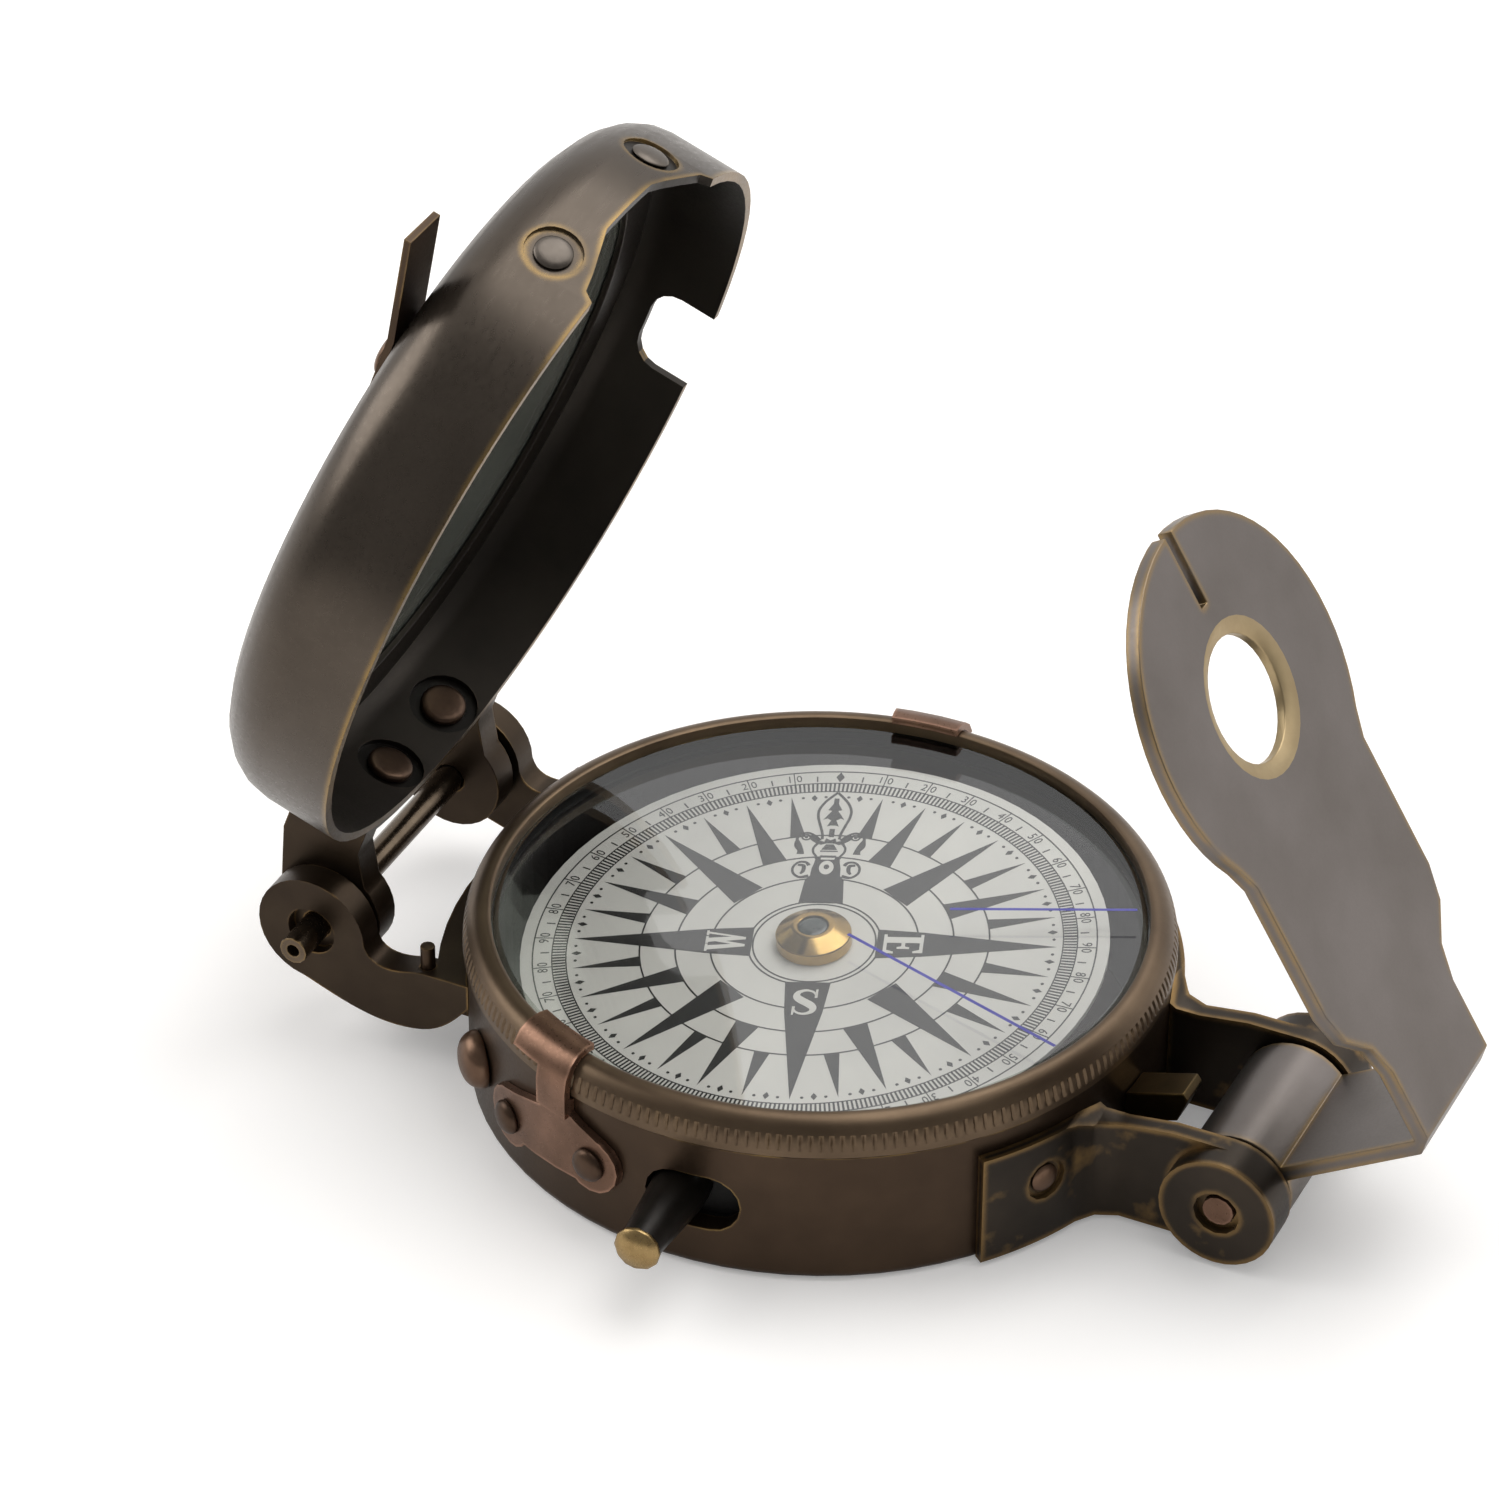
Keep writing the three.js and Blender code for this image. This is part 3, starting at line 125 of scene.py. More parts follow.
class CompassColours(bpy.types.PropertyGroup):
    """Colours of the finishes."""

    bronze: colour_property("#4d3d2f", "Bronze", "Antique bronze patina")
    bronze_dark: colour_property("#413327", "Dark bronze", "The patina where it is thick")
    bezel: colour_property("#6f5d4a", "Bezel bronze", "The bezel's browner patina")
    worn: colour_property("#a08350", "Worn brass", "Bare brass on rubbed edges")
    copper: colour_property("#846553", "Copper", "Oxidised copper of the clips and rivets")
    brass: colour_property("#bfa064", "Brass", "Polished brass")
    dial: colour_property("#d9d8d0", "Dial", "Silvered card")
    ink: colour_property("#1d1d1b", "Ink", "Black printing on the card")
    line: colour_property("#5250a8", "Painted line", "Lines painted on the crystal")


def shader_tree(name):
    """A new material with an empty tree and its output."""
    material = bpy.data.materials.new(name)
    material.use_nodes = True
    material.node_tree.nodes.clear()
    return material, material.node_tree


def add(tree, kind, inputs=None, **settings):
    """Adds a node; an input is given a value, or another node's output to link from."""
    made = tree.nodes.new(kind)
    for key, value in settings.items():
        setattr(made, key, value)
    for key, value in (inputs or {}).items():
        if isinstance(value, bpy.types.NodeSocket):
            tree.links.new(value, made.inputs[key])
        else:
            made.inputs[key].default_value = value
    return made


def mottle(tree, where, size_mm, low, high, detail=4.0, spread=(0.3, 0.7)):
    """Noise with features of a real size, spread between two values."""
    scale = 1 / (size_mm * MM)
    noise = add(tree, "ShaderNodeTexNoise", {"Vector": where, "Scale": scale, "Detail": detail})
    limits = {"From Min": spread[0], "From Max": spread[1], "To Min": low, "To Max": high}
    return add(tree, "ShaderNodeMapRange", {"Value": noise.outputs["Fac"], **limits}).outputs["Result"]


def mixed(tree, share, first, second):
    """A colour between two colours."""
    return add(tree, "ShaderNodeMix", {"Factor": share, 6: first, 7: second}, data_type="RGBA").outputs[2]


# How far the direction has to turn near an edge, as a cosine: where the wear begins, and where it is full
EDGE_BEGINS, EDGE_FULL = 0.995, 0.9


def edge_share(tree, width_mm):
    """How near a point is to an outer edge, from 0 to 1."""
    rounded = add(tree, "ShaderNodeBevel", {"Radius": width_mm * MM}, samples=6).outputs["Normal"]
    flat = add(tree, "ShaderNodeNewGeometry").outputs["Normal"]
    turn = add(tree, "ShaderNodeVectorMath", {0: rounded, 1: flat}, operation="DOT_PRODUCT")
    near = {"Value": turn.outputs["Value"], "From Min": EDGE_BEGINS, "From Max": EDGE_FULL}
    return add(tree, "ShaderNodeMapRange", near).outputs["Result"]


# Size of the rubbed patches, and how much of the bare metal shows in them at most: on edges, then on faces
WEAR_PATCH_MM, WEAR_MOST = 5.0, 0.85
RUB_PATCH_MM, RUB_MOST = 4.0, 0.7


def finish(name, first, second, metallic, roughness, patch_mm=6.0, grain_mm=0.25, relief_mm=0.001,
           worn=None, wear=(0.45, 0.7), edge_mm=0.3, rubbed=None, run=(1, 1, 1), coat=0.0):
    """Metal, paint or felt: two tones in soft patches, with a fine grain in the gloss and the relief.

    Edges are bared to the colour worn within edge_mm, and faces too where rubbed is given. The pairs wear
    and rubbed say at which share of the noise a patch begins and is full. Along an axis where run is small,
    the grain is drawn out.
    """
    material, tree = shader_tree(name)
    place = add(tree, "ShaderNodeTexCoord").outputs["Object"]
    along = add(tree, "ShaderNodeMapping", {"Vector": place, "Scale": run}).outputs["Vector"]
    grain = mottle(tree, along, grain_mm, 0, 1, 3.0)
    colour = mixed(tree, mottle(tree, place, patch_mm, 0, 1), first, second)
    if worn is not None:
        rub = mottle(tree, place, WEAR_PATCH_MM, 0.0, WEAR_MOST, 5.0, wear)
        edges = {0: edge_share(tree, edge_mm), 1: rub}
        bare = add(tree, "ShaderNodeMath", edges, operation="MULTIPLY").outputs[0]
        colour = mixed(tree, bare, colour, worn)
    if rubbed is not None:
        colour = mixed(tree, mottle(tree, place, RUB_PATCH_MM, 0.0, RUB_MOST, 6.0, rubbed), colour, worn)
    rough = {"Value": grain, "To Min": roughness[0], "To Max": roughness[1]}
    bump = add(tree, "ShaderNodeBump", {"Height": grain, "Strength": 1.0, "Distance": relief_mm * MM})
    shader = add(tree, "ShaderNodeBsdfPrincipled", {
        "Base Color": colour, "Metallic": metallic, "Normal": bump.outputs["Normal"], "Coat Weight": coat,
        "Roughness": add(tree, "ShaderNodeMapRange", rough).outputs["Result"],
    })
    add(tree, "ShaderNodeOutputMaterial", {"Surface": shader.outputs["BSDF"]})
    return material


# The size of the smears on the glass, how much duller they are, and how fast its reflection grows with tilt
SMEAR_MM, SMEAR_DULLS, REFLECTION_GROWS = 6.0, 1.6, 2.0


def clear_glass(name, tint, gloss, veil):
    """Thin polished glass: it lets what lies under it show in place, and mirrors more at a flat angle."""
    material, tree = shader_tree(name)
    through = add(tree, "ShaderNodeBsdfTransparent", {"Color": tint})
    place = add(tree, "ShaderNodeTexCoord").outputs["Object"]
    smear = mottle(tree, place, SMEAR_MM, gloss, gloss * SMEAR_DULLS)
    shine = add(tree, "ShaderNodeBsdfGlossy", {"Color": (1, 1, 1, 1), "Roughness": smear})
    facing = add(tree, "ShaderNodeLayerWeight", {"Blend": 0.5}).outputs["Facing"]
    steep = add(tree, "ShaderNodeMath", {0: facing, 1: REFLECTION_GROWS}, operation="POWER").outputs[0]
    share = add(tree, "ShaderNodeMath", {0: steep, 1: veil}, operation="MULTIPLY").outputs[0]
    both = add(tree, "ShaderNodeMixShader", {0: share, 1: through.outputs[0], 2: shine.outputs[0]})
    add(tree, "ShaderNodeOutputMaterial", {"Surface": both.outputs[0]})
    return material


def finishes():
    """Makes every finish once and returns them by name.

    Each has its two tones, how metallic it is, and its lowest and highest roughness; then the sizes of its
    patches, grain and relief in millimetres where they differ from the usual ones.
    """
    made = bpy.context.scene.get("compass_finishes")
    if made:
        return {key: bpy.data.materials[value] for key, value in made.items()}
    c = bpy.context.scene.compass_colours
    table = {
        # Antique bronze: brass with a smooth dark brown patina, satin, rubbed bare here and there on edges.
        "bronze": finish("antique bronze", c.bronze_dark, c.bronze, 0.85, (0.3, 0.38), worn=c.worn),
        # The lid's outside: the same patina, greyer, with a faint grain along the wall.
        "lid": finish("grey bronze", linear("#4d453d"), linear("#5b5249"), 0.85, (0.26, 0.34), 9.0, 0.4,
                      worn=c.worn, wear=(0.25, 0.5), edge_mm=0.9, run=(1, 0.1, 1)),
        # Its rim, where the lid is lifted, is rubbed to brown and brass.
        "lid_rim": finish("rubbed rim", linear("#463c32"), linear("#8d7148"), 0.85, (0.3, 0.4), 12.0),
        # The inside of the lid is painted near black: painted shade inside the cup. Its edges show a little
        # worn metal.
        "shaded_inside": finish("bronze with painted inside shade", linear("#2a2520"), linear("#352f29"), 0.7, (0.36, 0.46),
                            worn=linear("#54463a"), wear=(0.55, 0.75)),
        # The leaf is painted light grey: painted reflection of the white room in its faces. Its edge shows
        # brass where it is held.
        "leaf": finish("bronze with painted white reflection", linear("#6f6863"), linear("#7b7470"), 0.85, (0.32, 0.4), 8.0,
                       worn=c.worn, wear=(0.3, 0.5), edge_mm=1.0),
        # The bevel of its sight hole is rubbed brass, painted pale and greyed: painted highlight where the
        # light falls into it.
        "leaf_hole": finish("rubbed brass with painted highlight", linear("#a18d6b"), linear("#b19d79"), 0.9, (0.3, 0.4),
                            3.0),
        # The leaf's brackets are rubbed: brass shows through in patches, partly wear and partly a painted
        # highlight standing for the light on their bosses.
        "wear_and_highlight": finish("rubbed bronze with painted highlights", linear("#342e28"), linear("#403830"), 0.85, (0.3, 0.4),
                          worn=linear("#94764a"), wear=(0.25, 0.5), edge_mm=0.9, rubbed=(0.58, 0.72)),
        # The lid's bracket and ears: the patina at its thickest, dark and a little brown.
        "aged": finish("aged bronze", linear("#362b21"), linear("#44382b"), 0.85, (0.32, 0.4),
                       worn=linear("#94764a"), wear=(0.45, 0.65)),
        # Turned bezel: the same patina, browner.
        "bezel": finish("turned bronze", linear("#5c4c3c"), c.bezel, 0.85, (0.34, 0.42),
                        worn=linear("#8f7756")),
        # Oxidised copper on the clips: pink-brown with lighter edges.
        "copper": finish("oxidised copper", linear("#6a5040"), c.copper, 0.85, (0.26, 0.36), 3.0,
                         worn=linear("#b98f78"), wear=(0.35, 0.6), edge_mm=0.5),
        # The rivets' copper is duller and browner.
        "brown_copper": finish("brown copper", linear("#685142"), linear("#7d6350"), 0.85, (0.28, 0.4),
                               2.0),
        # On the clips and the ears it has darkened.
        "dark_copper": finish("dark copper", linear("#46362c"), linear("#574436"), 0.85, (0.3, 0.42), 2.0),
        # On the lid's wall and the hinge washers the metal has greyed.
        "grey_rivet": finish("greyed rivet", linear("#5d564f"), linear("#6e665e"), 0.85, (0.3, 0.4), 2.0),
        # Polished brass: warm and bright, with a few hairlines.
        "brass": finish("polished brass", linear("#a98a53"), c.brass, 1.0, (0.14, 0.22), 2.0, 0.12, 0.0005),
        # The knob and the leaf's washers are handled: dull brass.
        "dull_brass": finish("dull brass", linear("#937a51"), linear("#a78d60"), 0.9, (0.24, 0.36), 1.5),
        # The rest tab is painted dark brass: painted shadow, as it sits in shade. Its edges are worn
        # bright.
        "shadowed_brass": finish("brass with painted shadow", linear("#42361f"), linear("#534328"), 0.9, (0.3, 0.4), 2.0,
                             worn=c.worn, wear=(0.4, 0.6)),
        # The lid's hinge pin: darkened steel that still shines along its length.
        "pin": finish("darkened steel", linear("#5c4f42"), linear("#726454"), 0.95, (0.2, 0.28), 2.0,
                      worn=c.worn, wear=(0.4, 0.6)),
        # Turned steel: grey, satin, clean.
        "steel": finish("satin steel", linear("#77756f"), linear("#918f89"), 1.0, (0.28, 0.38), 3.0),
        # Black oxide on steel: nearly black, with a soft shine on its rounds. The recesses behind the lid's
        # rivets are painted with it too: painted shade.
        "black": finish("black oxide steel and painted recess shade", linear("#16130f"), linear("#221d19"), 0.6, (0.3, 0.4), 2.0),
        # Lacquer inside the case: flat black, so that the pale card stands out.
        "lacquer": finish("matt black lacquer", linear("#1a1816"), linear("#1e1c1a"), 0.0, (0.6, 0.7),
                          4.0, 0.25, 0.0002),
        # Silvered dial: pale, with a fine even grain.
        "card": finish("silvered dial", linear("#d0cfc8"), c.dial, 0.05, (0.5, 0.6), 7.0, 0.15, 0.0005),
        # Its printing is a matt black ink with crisp edges.
        "ink": finish("black dial ink", c.ink, linear("#262624"), 0.0, (0.45, 0.55), 1.5, 0.1, 0.0005),
        # Thin violet-blue paint on the crystal.
        "line": finish("blue glass paint", c.line, linear("#6a68b8"), 0.0, (0.4, 0.5), 3.0, 0.1, 0.0005),
        # Looking glass: silver behind thin, slightly green glass.
        "mirror": finish("silvered mirror", linear("#b4b9ae"), linear("#bec3b8"), 0.8, (0.02, 0.05),
                         9.0, 9.0, 0.0),
        # Felt behind the mirror: dull and fuzzy.
        "felt": finish("black felt", linear("#1e1b19"), linear("#2e2a27"), 0.0, (0.9, 1.0), 1.0, 0.2, 0.05),
        # Rubber under the crystal: black, without shine.
        "rubber": finish("black rubber", linear("#141414"), linear("#1f1f1f"), 0.0, (0.7, 0.85), 2.0),
        # Polished agate in the cap: dark green-grey with a small bright spot.
        "jewel": finish("polished agate", linear("#26302d"), linear("#3a4642"), 0.0, (0.14, 0.2), 1.0,
                        coat=0.3),
        # The crystal's flat top is clear and mirrors softly.
        "glass": clear_glass("polished crystal", linear("#ffffff"), 0.02, 0.58),
        # Its bevel catches grey-green light.
        "glass_edge": clear_glass("bevelled crystal edge", linear("#dde2dc"), 0.12, 1.0),
    }
    bpy.context.scene["compass_finishes"] = {key: value.name for key, value in table.items()}
    return table


def look(key):
    """A finish by its name."""
    return finishes()[key]


def node_finish(node):
    """The finish of a CAD node: its own, or that of its material slot."""
    if node in OWN_FINISH:
        return OWN_FINISH[node]
    if "rivet" in node:
        return "dark_copper" if "clip" in node else "brown_copper"
    return {"bezel_bronze": "bezel"}.get(SLOT_OF[node], SLOT_OF[node])


def put_on(piece, *keys):
    """Gives a piece its finishes, in the order of its material slots."""
    piece.data.materials.clear()
    for key in keys:
        piece.data.materials.append(look(key))


def settle(piece, name, body, replaced=()):
    """Names a finished piece and ties it to the frame."""
    piece.name = name
    piece.data.name = name
    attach(piece, body)
    if replaced:
        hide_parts(*replaced)
    return piece


def only(piece):
    """Selects one object and nothing else."""
    if bpy.context.object and bpy.context.object.mode != "OBJECT":
        bpy.ops.object.mode_set(mode="OBJECT")
    bpy.ops.object.select_all(action="DESELECT")
    if piece:
        piece.select_set(True)
    bpy.context.view_layer.objects.active = piece


def edit_all(piece):
    """Opens a piece in edit mode with its whole mesh selected."""
    only(piece)
    bpy.ops.object.mode_set(mode="EDIT")
    bpy.ops.mesh.select_all(action="SELECT")


def apply_all(piece):
    """Applies the modifiers of a piece in their order."""
    only(piece)
    for modifier in list(piece.modifiers):
        bpy.ops.object.modifier_apply(modifier=modifier.name)


# Corners of a CAD mesh this near are one corner, and faces this nearly level are one face
JOIN_WITHIN = 0.004 * MM
FLAT_WITHIN = math.radians(0.4)
# Edges sharper than this, in degrees, are rounded and stay crisp
SHARP = 38
DOME_SHARP = 60
# Edge roundings of the small pieces
RIVET_ROUND, PIN_ROUND, JEWEL_ROUND = 0.08 * MM, 0.06 * MM, 0.05 * MM


def merged_copy(node):
    """A copy of a CAD node's mesh with its corners joined and its flat faces made whole."""
    piece = bpy.data.objects.new(node + "_copy", frame["nodes"][node].data.copy())
    bpy.context.scene.collection.objects.link(piece)
    edit_all(piece)
    bpy.ops.mesh.remove_doubles(threshold=JOIN_WITHIN)
    bpy.ops.mesh.dissolve_limited(angle_limit=FLAT_WITHIN)
    bpy.ops.object.mode_set(mode="OBJECT")
    return piece


def rounded(node, width, segments=2, levels=0, smooth=SHARP):
    """A merged copy with its sharp edges rounded, and subdivided if levels is given."""
    piece = merged_copy(node)
    bevel = piece.modifiers.new("edges", "BEVEL")
    bevel.width = width
    bevel.segments = segments
    bevel.limit_method = "ANGLE"
    bevel.angle_limit = math.radians(smooth)
    bevel.use_clamp_overlap = True
    if levels:
        subdivision = piece.modifiers.new("round", "SUBSURF")
        subdivision.levels = subdivision.render_levels = levels
    apply_all(piece)
    bpy.ops.object.shade_smooth_by_angle(angle=math.radians(smooth))
    weighted = piece.modifiers.new("even shading", "WEIGHTED_NORMAL")
    weighted.keep_sharp = True
    apply_all(piece)
    return piece


def dressed_copy(node, width, **shape):
    """A rounded copy that stands for its CAD node, in that node's finish."""
    piece = rounded(node, width, **shape)
    put_on(piece, node_finish(node))
    return settle(piece, node + "_finished", BODY_OF[node], [node])


# The hinge axes (x, z) and how far the lid and the leaf stand open, to find places on them
LID_HINGE, LID_OPEN = (-38.3, 10.0), 69.8
LEAF_HINGE, LEAF_OPEN = (38.7, 5.3), -59.0
# The shut lid: radius of its wall's middle, where its inside ends upward, and its round corner
LID_WALL_MIDDLE, LID_INSIDE_TOP = 30.0, 20.1
LID_CORNER_RADIUS, LID_CORNER_HEIGHT, LID_CORNER_ROUND = 25.4, 15.5, 4.6
# Its rim's faces lie below this height and face down by more than this
LID_RIM_TOP, LID_RIM_FACING = 10, -0.8
# Recesses behind the ears' rivets: their middle and spread in degrees, height, size, and how deep they lie
RECESS_MIDDLE, RECESS_SPREAD, RECESS_HEIGHT, RECESS_RADIUS = 3.5, 8.5, 12.2, 2.9
RECESS_DEPTH = (29.7, 30.25)
# The leaf's sight hole: its place along X, the reach of its bevel, a height below the folded leaf, and how
# much the leaf's flat faces look up or down
HOLE_X, HOLE_REACH, LEAF_LEVEL, LEAF_FLAT = 2.0, 6.5, 20, 0.98


def shut_places(piece, hinge, opening):
    """Each face with its centre and direction as they are when the piece is folded shut, in millimetres."""
    pivot = Vector((hinge[0], 0, hinge[1]))
    back = Matrix.Rotation(math.radians(opening), 3, "Y")
    return [
        (face, back @ (face.center / MM - pivot) + pivot, back @ face.normal)
        for face in piece.data.polygons
    ]


def inside_lid(place):
    """Whether a point of the lid's wall is nearer its inside than its outside."""
    radius = math.hypot(place.x, place.y)
    if radius > LID_CORNER_RADIUS and place.z > LID_CORNER_HEIGHT:
        return math.hypot(radius - LID_CORNER_RADIUS, place.z - LID_CORNER_HEIGHT) < LID_CORNER_ROUND
    return radius < LID_WALL_MIDDLE and place.z < LID_INSIDE_TOP


def in_rivet_recess(place):
    """Whether a point lies in one of the two round recesses behind the ears' rivets."""
    radius = math.hypot(place.x, place.y)
    turn = abs(abs(math.degrees(math.atan2(place.y, -place.x)) - RECESS_MIDDLE) - RECESS_SPREAD)
    sunk = place.x < 0 and RECESS_DEPTH[0] < radius < RECESS_DEPTH[1]
    return sunk and math.hypot(radius * math.radians(turn), place.z - RECESS_HEIGHT) < RECESS_RADIUS


def in_leaf_bevel(place, direction):
    """Whether a face belongs to the leaf's sighting hole or its bevel."""
    near = math.hypot(place.x - HOLE_X, place.y) < HOLE_REACH and place.z > LEAF_LEVEL
    return near and abs(direction.z) < LEAF_FLAT


def turned(profile_mm, sides, solid):
    """Turns an outline of (radius, height) points about Z: a solid, or a ring if the outline closes."""
    only(None)
    (radius, height), *rest = profile_mm
    bpy.ops.mesh.primitive_circle_add(
        vertices=sides, radius=radius * MM, location=(0, 0, height * MM),
        fill_type="NGON" if solid else "NOTHING",
    )
    piece = bpy.context.object
    bpy.ops.object.transform_apply(location=True, rotation=True, scale=True)
    edit_all(piece)
    for r, z in rest if solid else rest + [(radius, height)]:
        bpy.ops.mesh.extrude_region_move(TRANSFORM_OT_translate={"value": (0, 0, (z - height) * MM)})
        bpy.ops.transform.resize(value=(r / radius, r / radius, 1), center_override=(0, 0, z * MM))
        radius, height = r, z
    bpy.ops.mesh.select_all(action="SELECT")
    bpy.ops.mesh.remove_doubles(threshold=JOIN_WITHIN / 2)
    bpy.ops.mesh.normals_make_consistent(inside=False)
    bpy.ops.object.mode_set(mode="OBJECT")
    return piece


def moved_into(piece, matrix):
    """Puts a piece in place and applies the place to its mesh."""
    piece.matrix_world = matrix @ piece.matrix_world
    only(piece)
    bpy.ops.object.transform_apply(location=True, rotation=True, scale=True)
    return piece


def joined(pieces):
    """Joins several pieces into the first."""
    only(pieces[0])
    for piece in pieces:
        piece.select_set(True)
    bpy.ops.object.join()
    return bpy.context.object


# The dial's printing, in millimetres about the card's centre, with north along +Y.
CARD_PIVOT = Vector((-0.5, -0.1, 11.8)) * MM
CARD_TILT, CARD_TILT_AZIMUTH, CARD_NORTH = 4.3, 50, 109.5
CARD_TOP = -0.4 * MM


def card_place():
    """Where the card hangs: its tilt on the pivot, then its heading."""
    azimuth = math.radians(CARD_TILT_AZIMUTH)
    axis = Vector((-math.sin(azimuth), math.cos(azimuth), 0))
    tilt = Matrix.Rotation(-math.radians(CARD_TILT), 4, axis)
    return Matrix.Translation(CARD_PIVOT) @ tilt @ Matrix.Rotation(math.radians(CARD_NORTH - 90), 4, "Z")


def polar(radius, bearing):
    """A point at a bearing clockwise from north."""
    angle = math.radians(bearing)
    return (radius * math.sin(angle), radius * math.cos(angle))


def round_loop(radius, centre=(0, 0), sides=128):
    """A circle as an outline."""
    turns = [2 * math.pi * i / sides for i in range(sides)]
    return [(centre[0] + radius * math.cos(a), centre[1] + radius * math.sin(a)) for a in turns]


def printed(loops, thickness, bottom):
    """Flat shapes from closed outlines; an outline inside another is a hole."""
    curve = bpy.data.curves.new("print", "CURVE")
    curve.dimensions = "2D"
    curve.fill_mode = "BOTH"
    curve.extrude = thickness / 2
    for loop in loops:
        spline = curve.splines.new("POLY")
        spline.points.add(len(loop) - 1)
        for point, (x, y) in zip(spline.points, loop):
            point.co = (x * MM, y * MM, 0, 1)
        spline.use_cyclic_u = True
    piece = bpy.data.objects.new("print", curve)
    bpy.context.scene.collection.objects.link(piece)
    piece.location.z = bottom + thickness / 2
    only(piece)
    bpy.ops.object.convert(target="MESH")
    bpy.ops.object.transform_apply(location=True, rotation=True, scale=True)
    return piece


def facing_out(radius, bearing, height=0.0):
    """The place at a radius and bearing where up on the page points away from the card's centre."""
    x, y = polar(radius * MM, bearing)
    return Matrix.Translation((x, y, height)) @ Matrix.Rotation(-math.radians(bearing), 4, "Z")


def letter(outline, radius, bearing, thickness, bottom):
    """A letter, or a part of one, from its outline."""
    return moved_into(printed([outline], thickness, bottom), facing_out(radius, bearing))


def figure(text, bearing, thickness, bottom):
    """A number of the scale, in a plain face."""
    only(None)
    bpy.ops.object.text_add()
    writing = bpy.context.object.data
    writing.body = text
    writing.size = FIGURE_SIZE * MM
    writing.align_x = writing.align_y = "CENTER"
    writing.extrude = thickness / 2
    writing.resolution_u = 3
    bpy.ops.object.convert(target="MESH")
    place = facing_out(FIGURES_RADIUS, bearing, bottom + thickness / 2)
    return moved_into(bpy.context.object, place @ Matrix.Diagonal((FIGURE_NARROWING, 1, 1, 1)))


# The rose: how far out each kind of point starts, its half width there, and where its sides bend if they do
POINTS = 32
POINT_STEP = 360 / POINTS
POINT_TIP = 19.35
CARDINAL = ((5.0, 1.82), (8.7, 1.52))
DIAGONAL = ((8.42, 1.47),)
SECOND = ((11.15, 1.0),)
THIRD = ((14.05, 0.62),)
KINDS = {0: CARDINAL, 4: DIAGONAL, 2: SECOND, 6: SECOND}
# Rings as (outer radius, width): four of the rose and its hub, then those of the scale
RINGS = (
    (14.08, 0.14), (11.22, 0.14), (8.4, 0.14), (5.4, 0.14), (5.0, 0.14),
    (22.65, 0.12), (21.08, 0.1), (19.95, 0.1),
)
# They are printed thinner than the points that cross them
RING_INK = 0.9
# Marks of the scale as (inner radius, outer radius, half width in degrees)
DEGREE_MARK = (19.96, 20.97, 0.23)
TENS_MARK = (21.08, 22.53, 0.12)
FIVES_MARK = (21.25, 21.95, 0.16)
NORTH_MARK = ((21.2, 0), (21.85, 0.9), (22.5, 0), (21.85, -0.9))
FIGURES_RADIUS = 21.75
FIGURE_SIZE, FIGURE_NARROWING = 1.2, 0.85
# Lozenges between the points: their radius, half height, and half width in degrees; a dot at either side
LOZENGE_RADIUS, LOZENGE_HALF, LOZENGE_LEAN = 19.05, 0.42, 0.75
DOT_RADIUS, DOT_LIFT, DOT_LEAN = 0.14, 0.1, 2.8
# How far out the letters stand
LETTER_RADIUS, S_RADIUS = 7.15, 7.5

# Letters in a serif face, about their middle
LETTER_E = [
    (-1.2, -1.6), (1.15, -1.6), (1.2, -0.75), (0.97, -0.75), (0.75, -1.32), (-0.15, -1.32),
    (-0.15, -0.15), (0.3, -0.15), (0.4, -0.5), (0.6, -0.5), (0.6, 0.5), (0.4, 0.5), (0.3, 0.15),
    (-0.15, 0.15), (-0.15, 1.32), (0.7, 1.32), (0.9, 0.8), (1.12, 0.8), (1.1, 1.6), (-1.2, 1.6),
    (-1.2, 1.35), (-0.88, 1.35), (-0.88, -1.35), (-1.2, -1.35),
]
LETTER_W = [
    (-1.3, 1.6), (-0.38, 1.6), (-0.38, 1.4), (-0.58, 1.4), (-0.36, -0.55), (-0.05, 0.85), (-0.15, 1.4),
    (-0.3, 1.4), (-0.3, 1.6), (0.57, 1.6), (0.57, 1.4), (0.37, 1.4), (0.57, -0.5), (0.92, 1.4),
    (0.72, 1.4), (0.72, 1.6), (1.3, 1.6), (1.3, 1.4), (1.15, 1.4), (0.54, -1.6), (0.26, -1.6),
    (0.02, 0.0), (-0.36, -1.6), (-0.64, -1.6), (-1.12, 1.4), (-1.3, 1.4),
]
S_CURVE = [
    (0.86, 0.75), (0.6, 1.25), (0.0, 1.46), (-0.58, 1.2), (-0.7, 0.72), (-0.4, 0.3), (0.4, -0.3),
    (0.7, -0.72), (0.58, -1.2), (0.0, -1.46), (-0.6, -1.25), (-0.86, -0.75),
]
S_WIDTHS = [0.14, 0.2, 0.26, 0.4, 0.6, 0.74, 0.74, 0.6, 0.4, 0.26, 0.2, 0.14]
S_SERIF = [(0.72, 0.55), (0.95, 0.55), (0.95, 1.6), (0.78, 1.6)]

# The traditional lily of the north point, its right half from the top down
LANCE = [
    (0.0, 19.75), (0.5, 19.1), (1.0, 18.3), (1.33, 17.3), (1.28, 16.3), (1.03, 15.3), (0.78, 14.3),
    (0.7, 13.5),
]
LANCE_TREE = [
    (0.2, 18.95), (0.22, 18.2), (0.57, 17.4), (0.22, 17.3), (0.45, 16.9), (0.85, 16.1), (0.55, 16.3),
    (0.2, 16.0), (0.3, 15.75), (0.48, 15.2), (0.2, 15.35),
]
LANCE_STEM = [(0.22, 14.85), (0.22, 13.8)]
COLLAR = [
    (0.0, 13.35), (0.38, 13.6), (0.5, 13.15), (1.15, 13.35), (1.2, 12.95), (0.75, 12.75), (0.3, 12.95),
]
NECK = [(0.32, 12.8), (0.64, 12.1)]
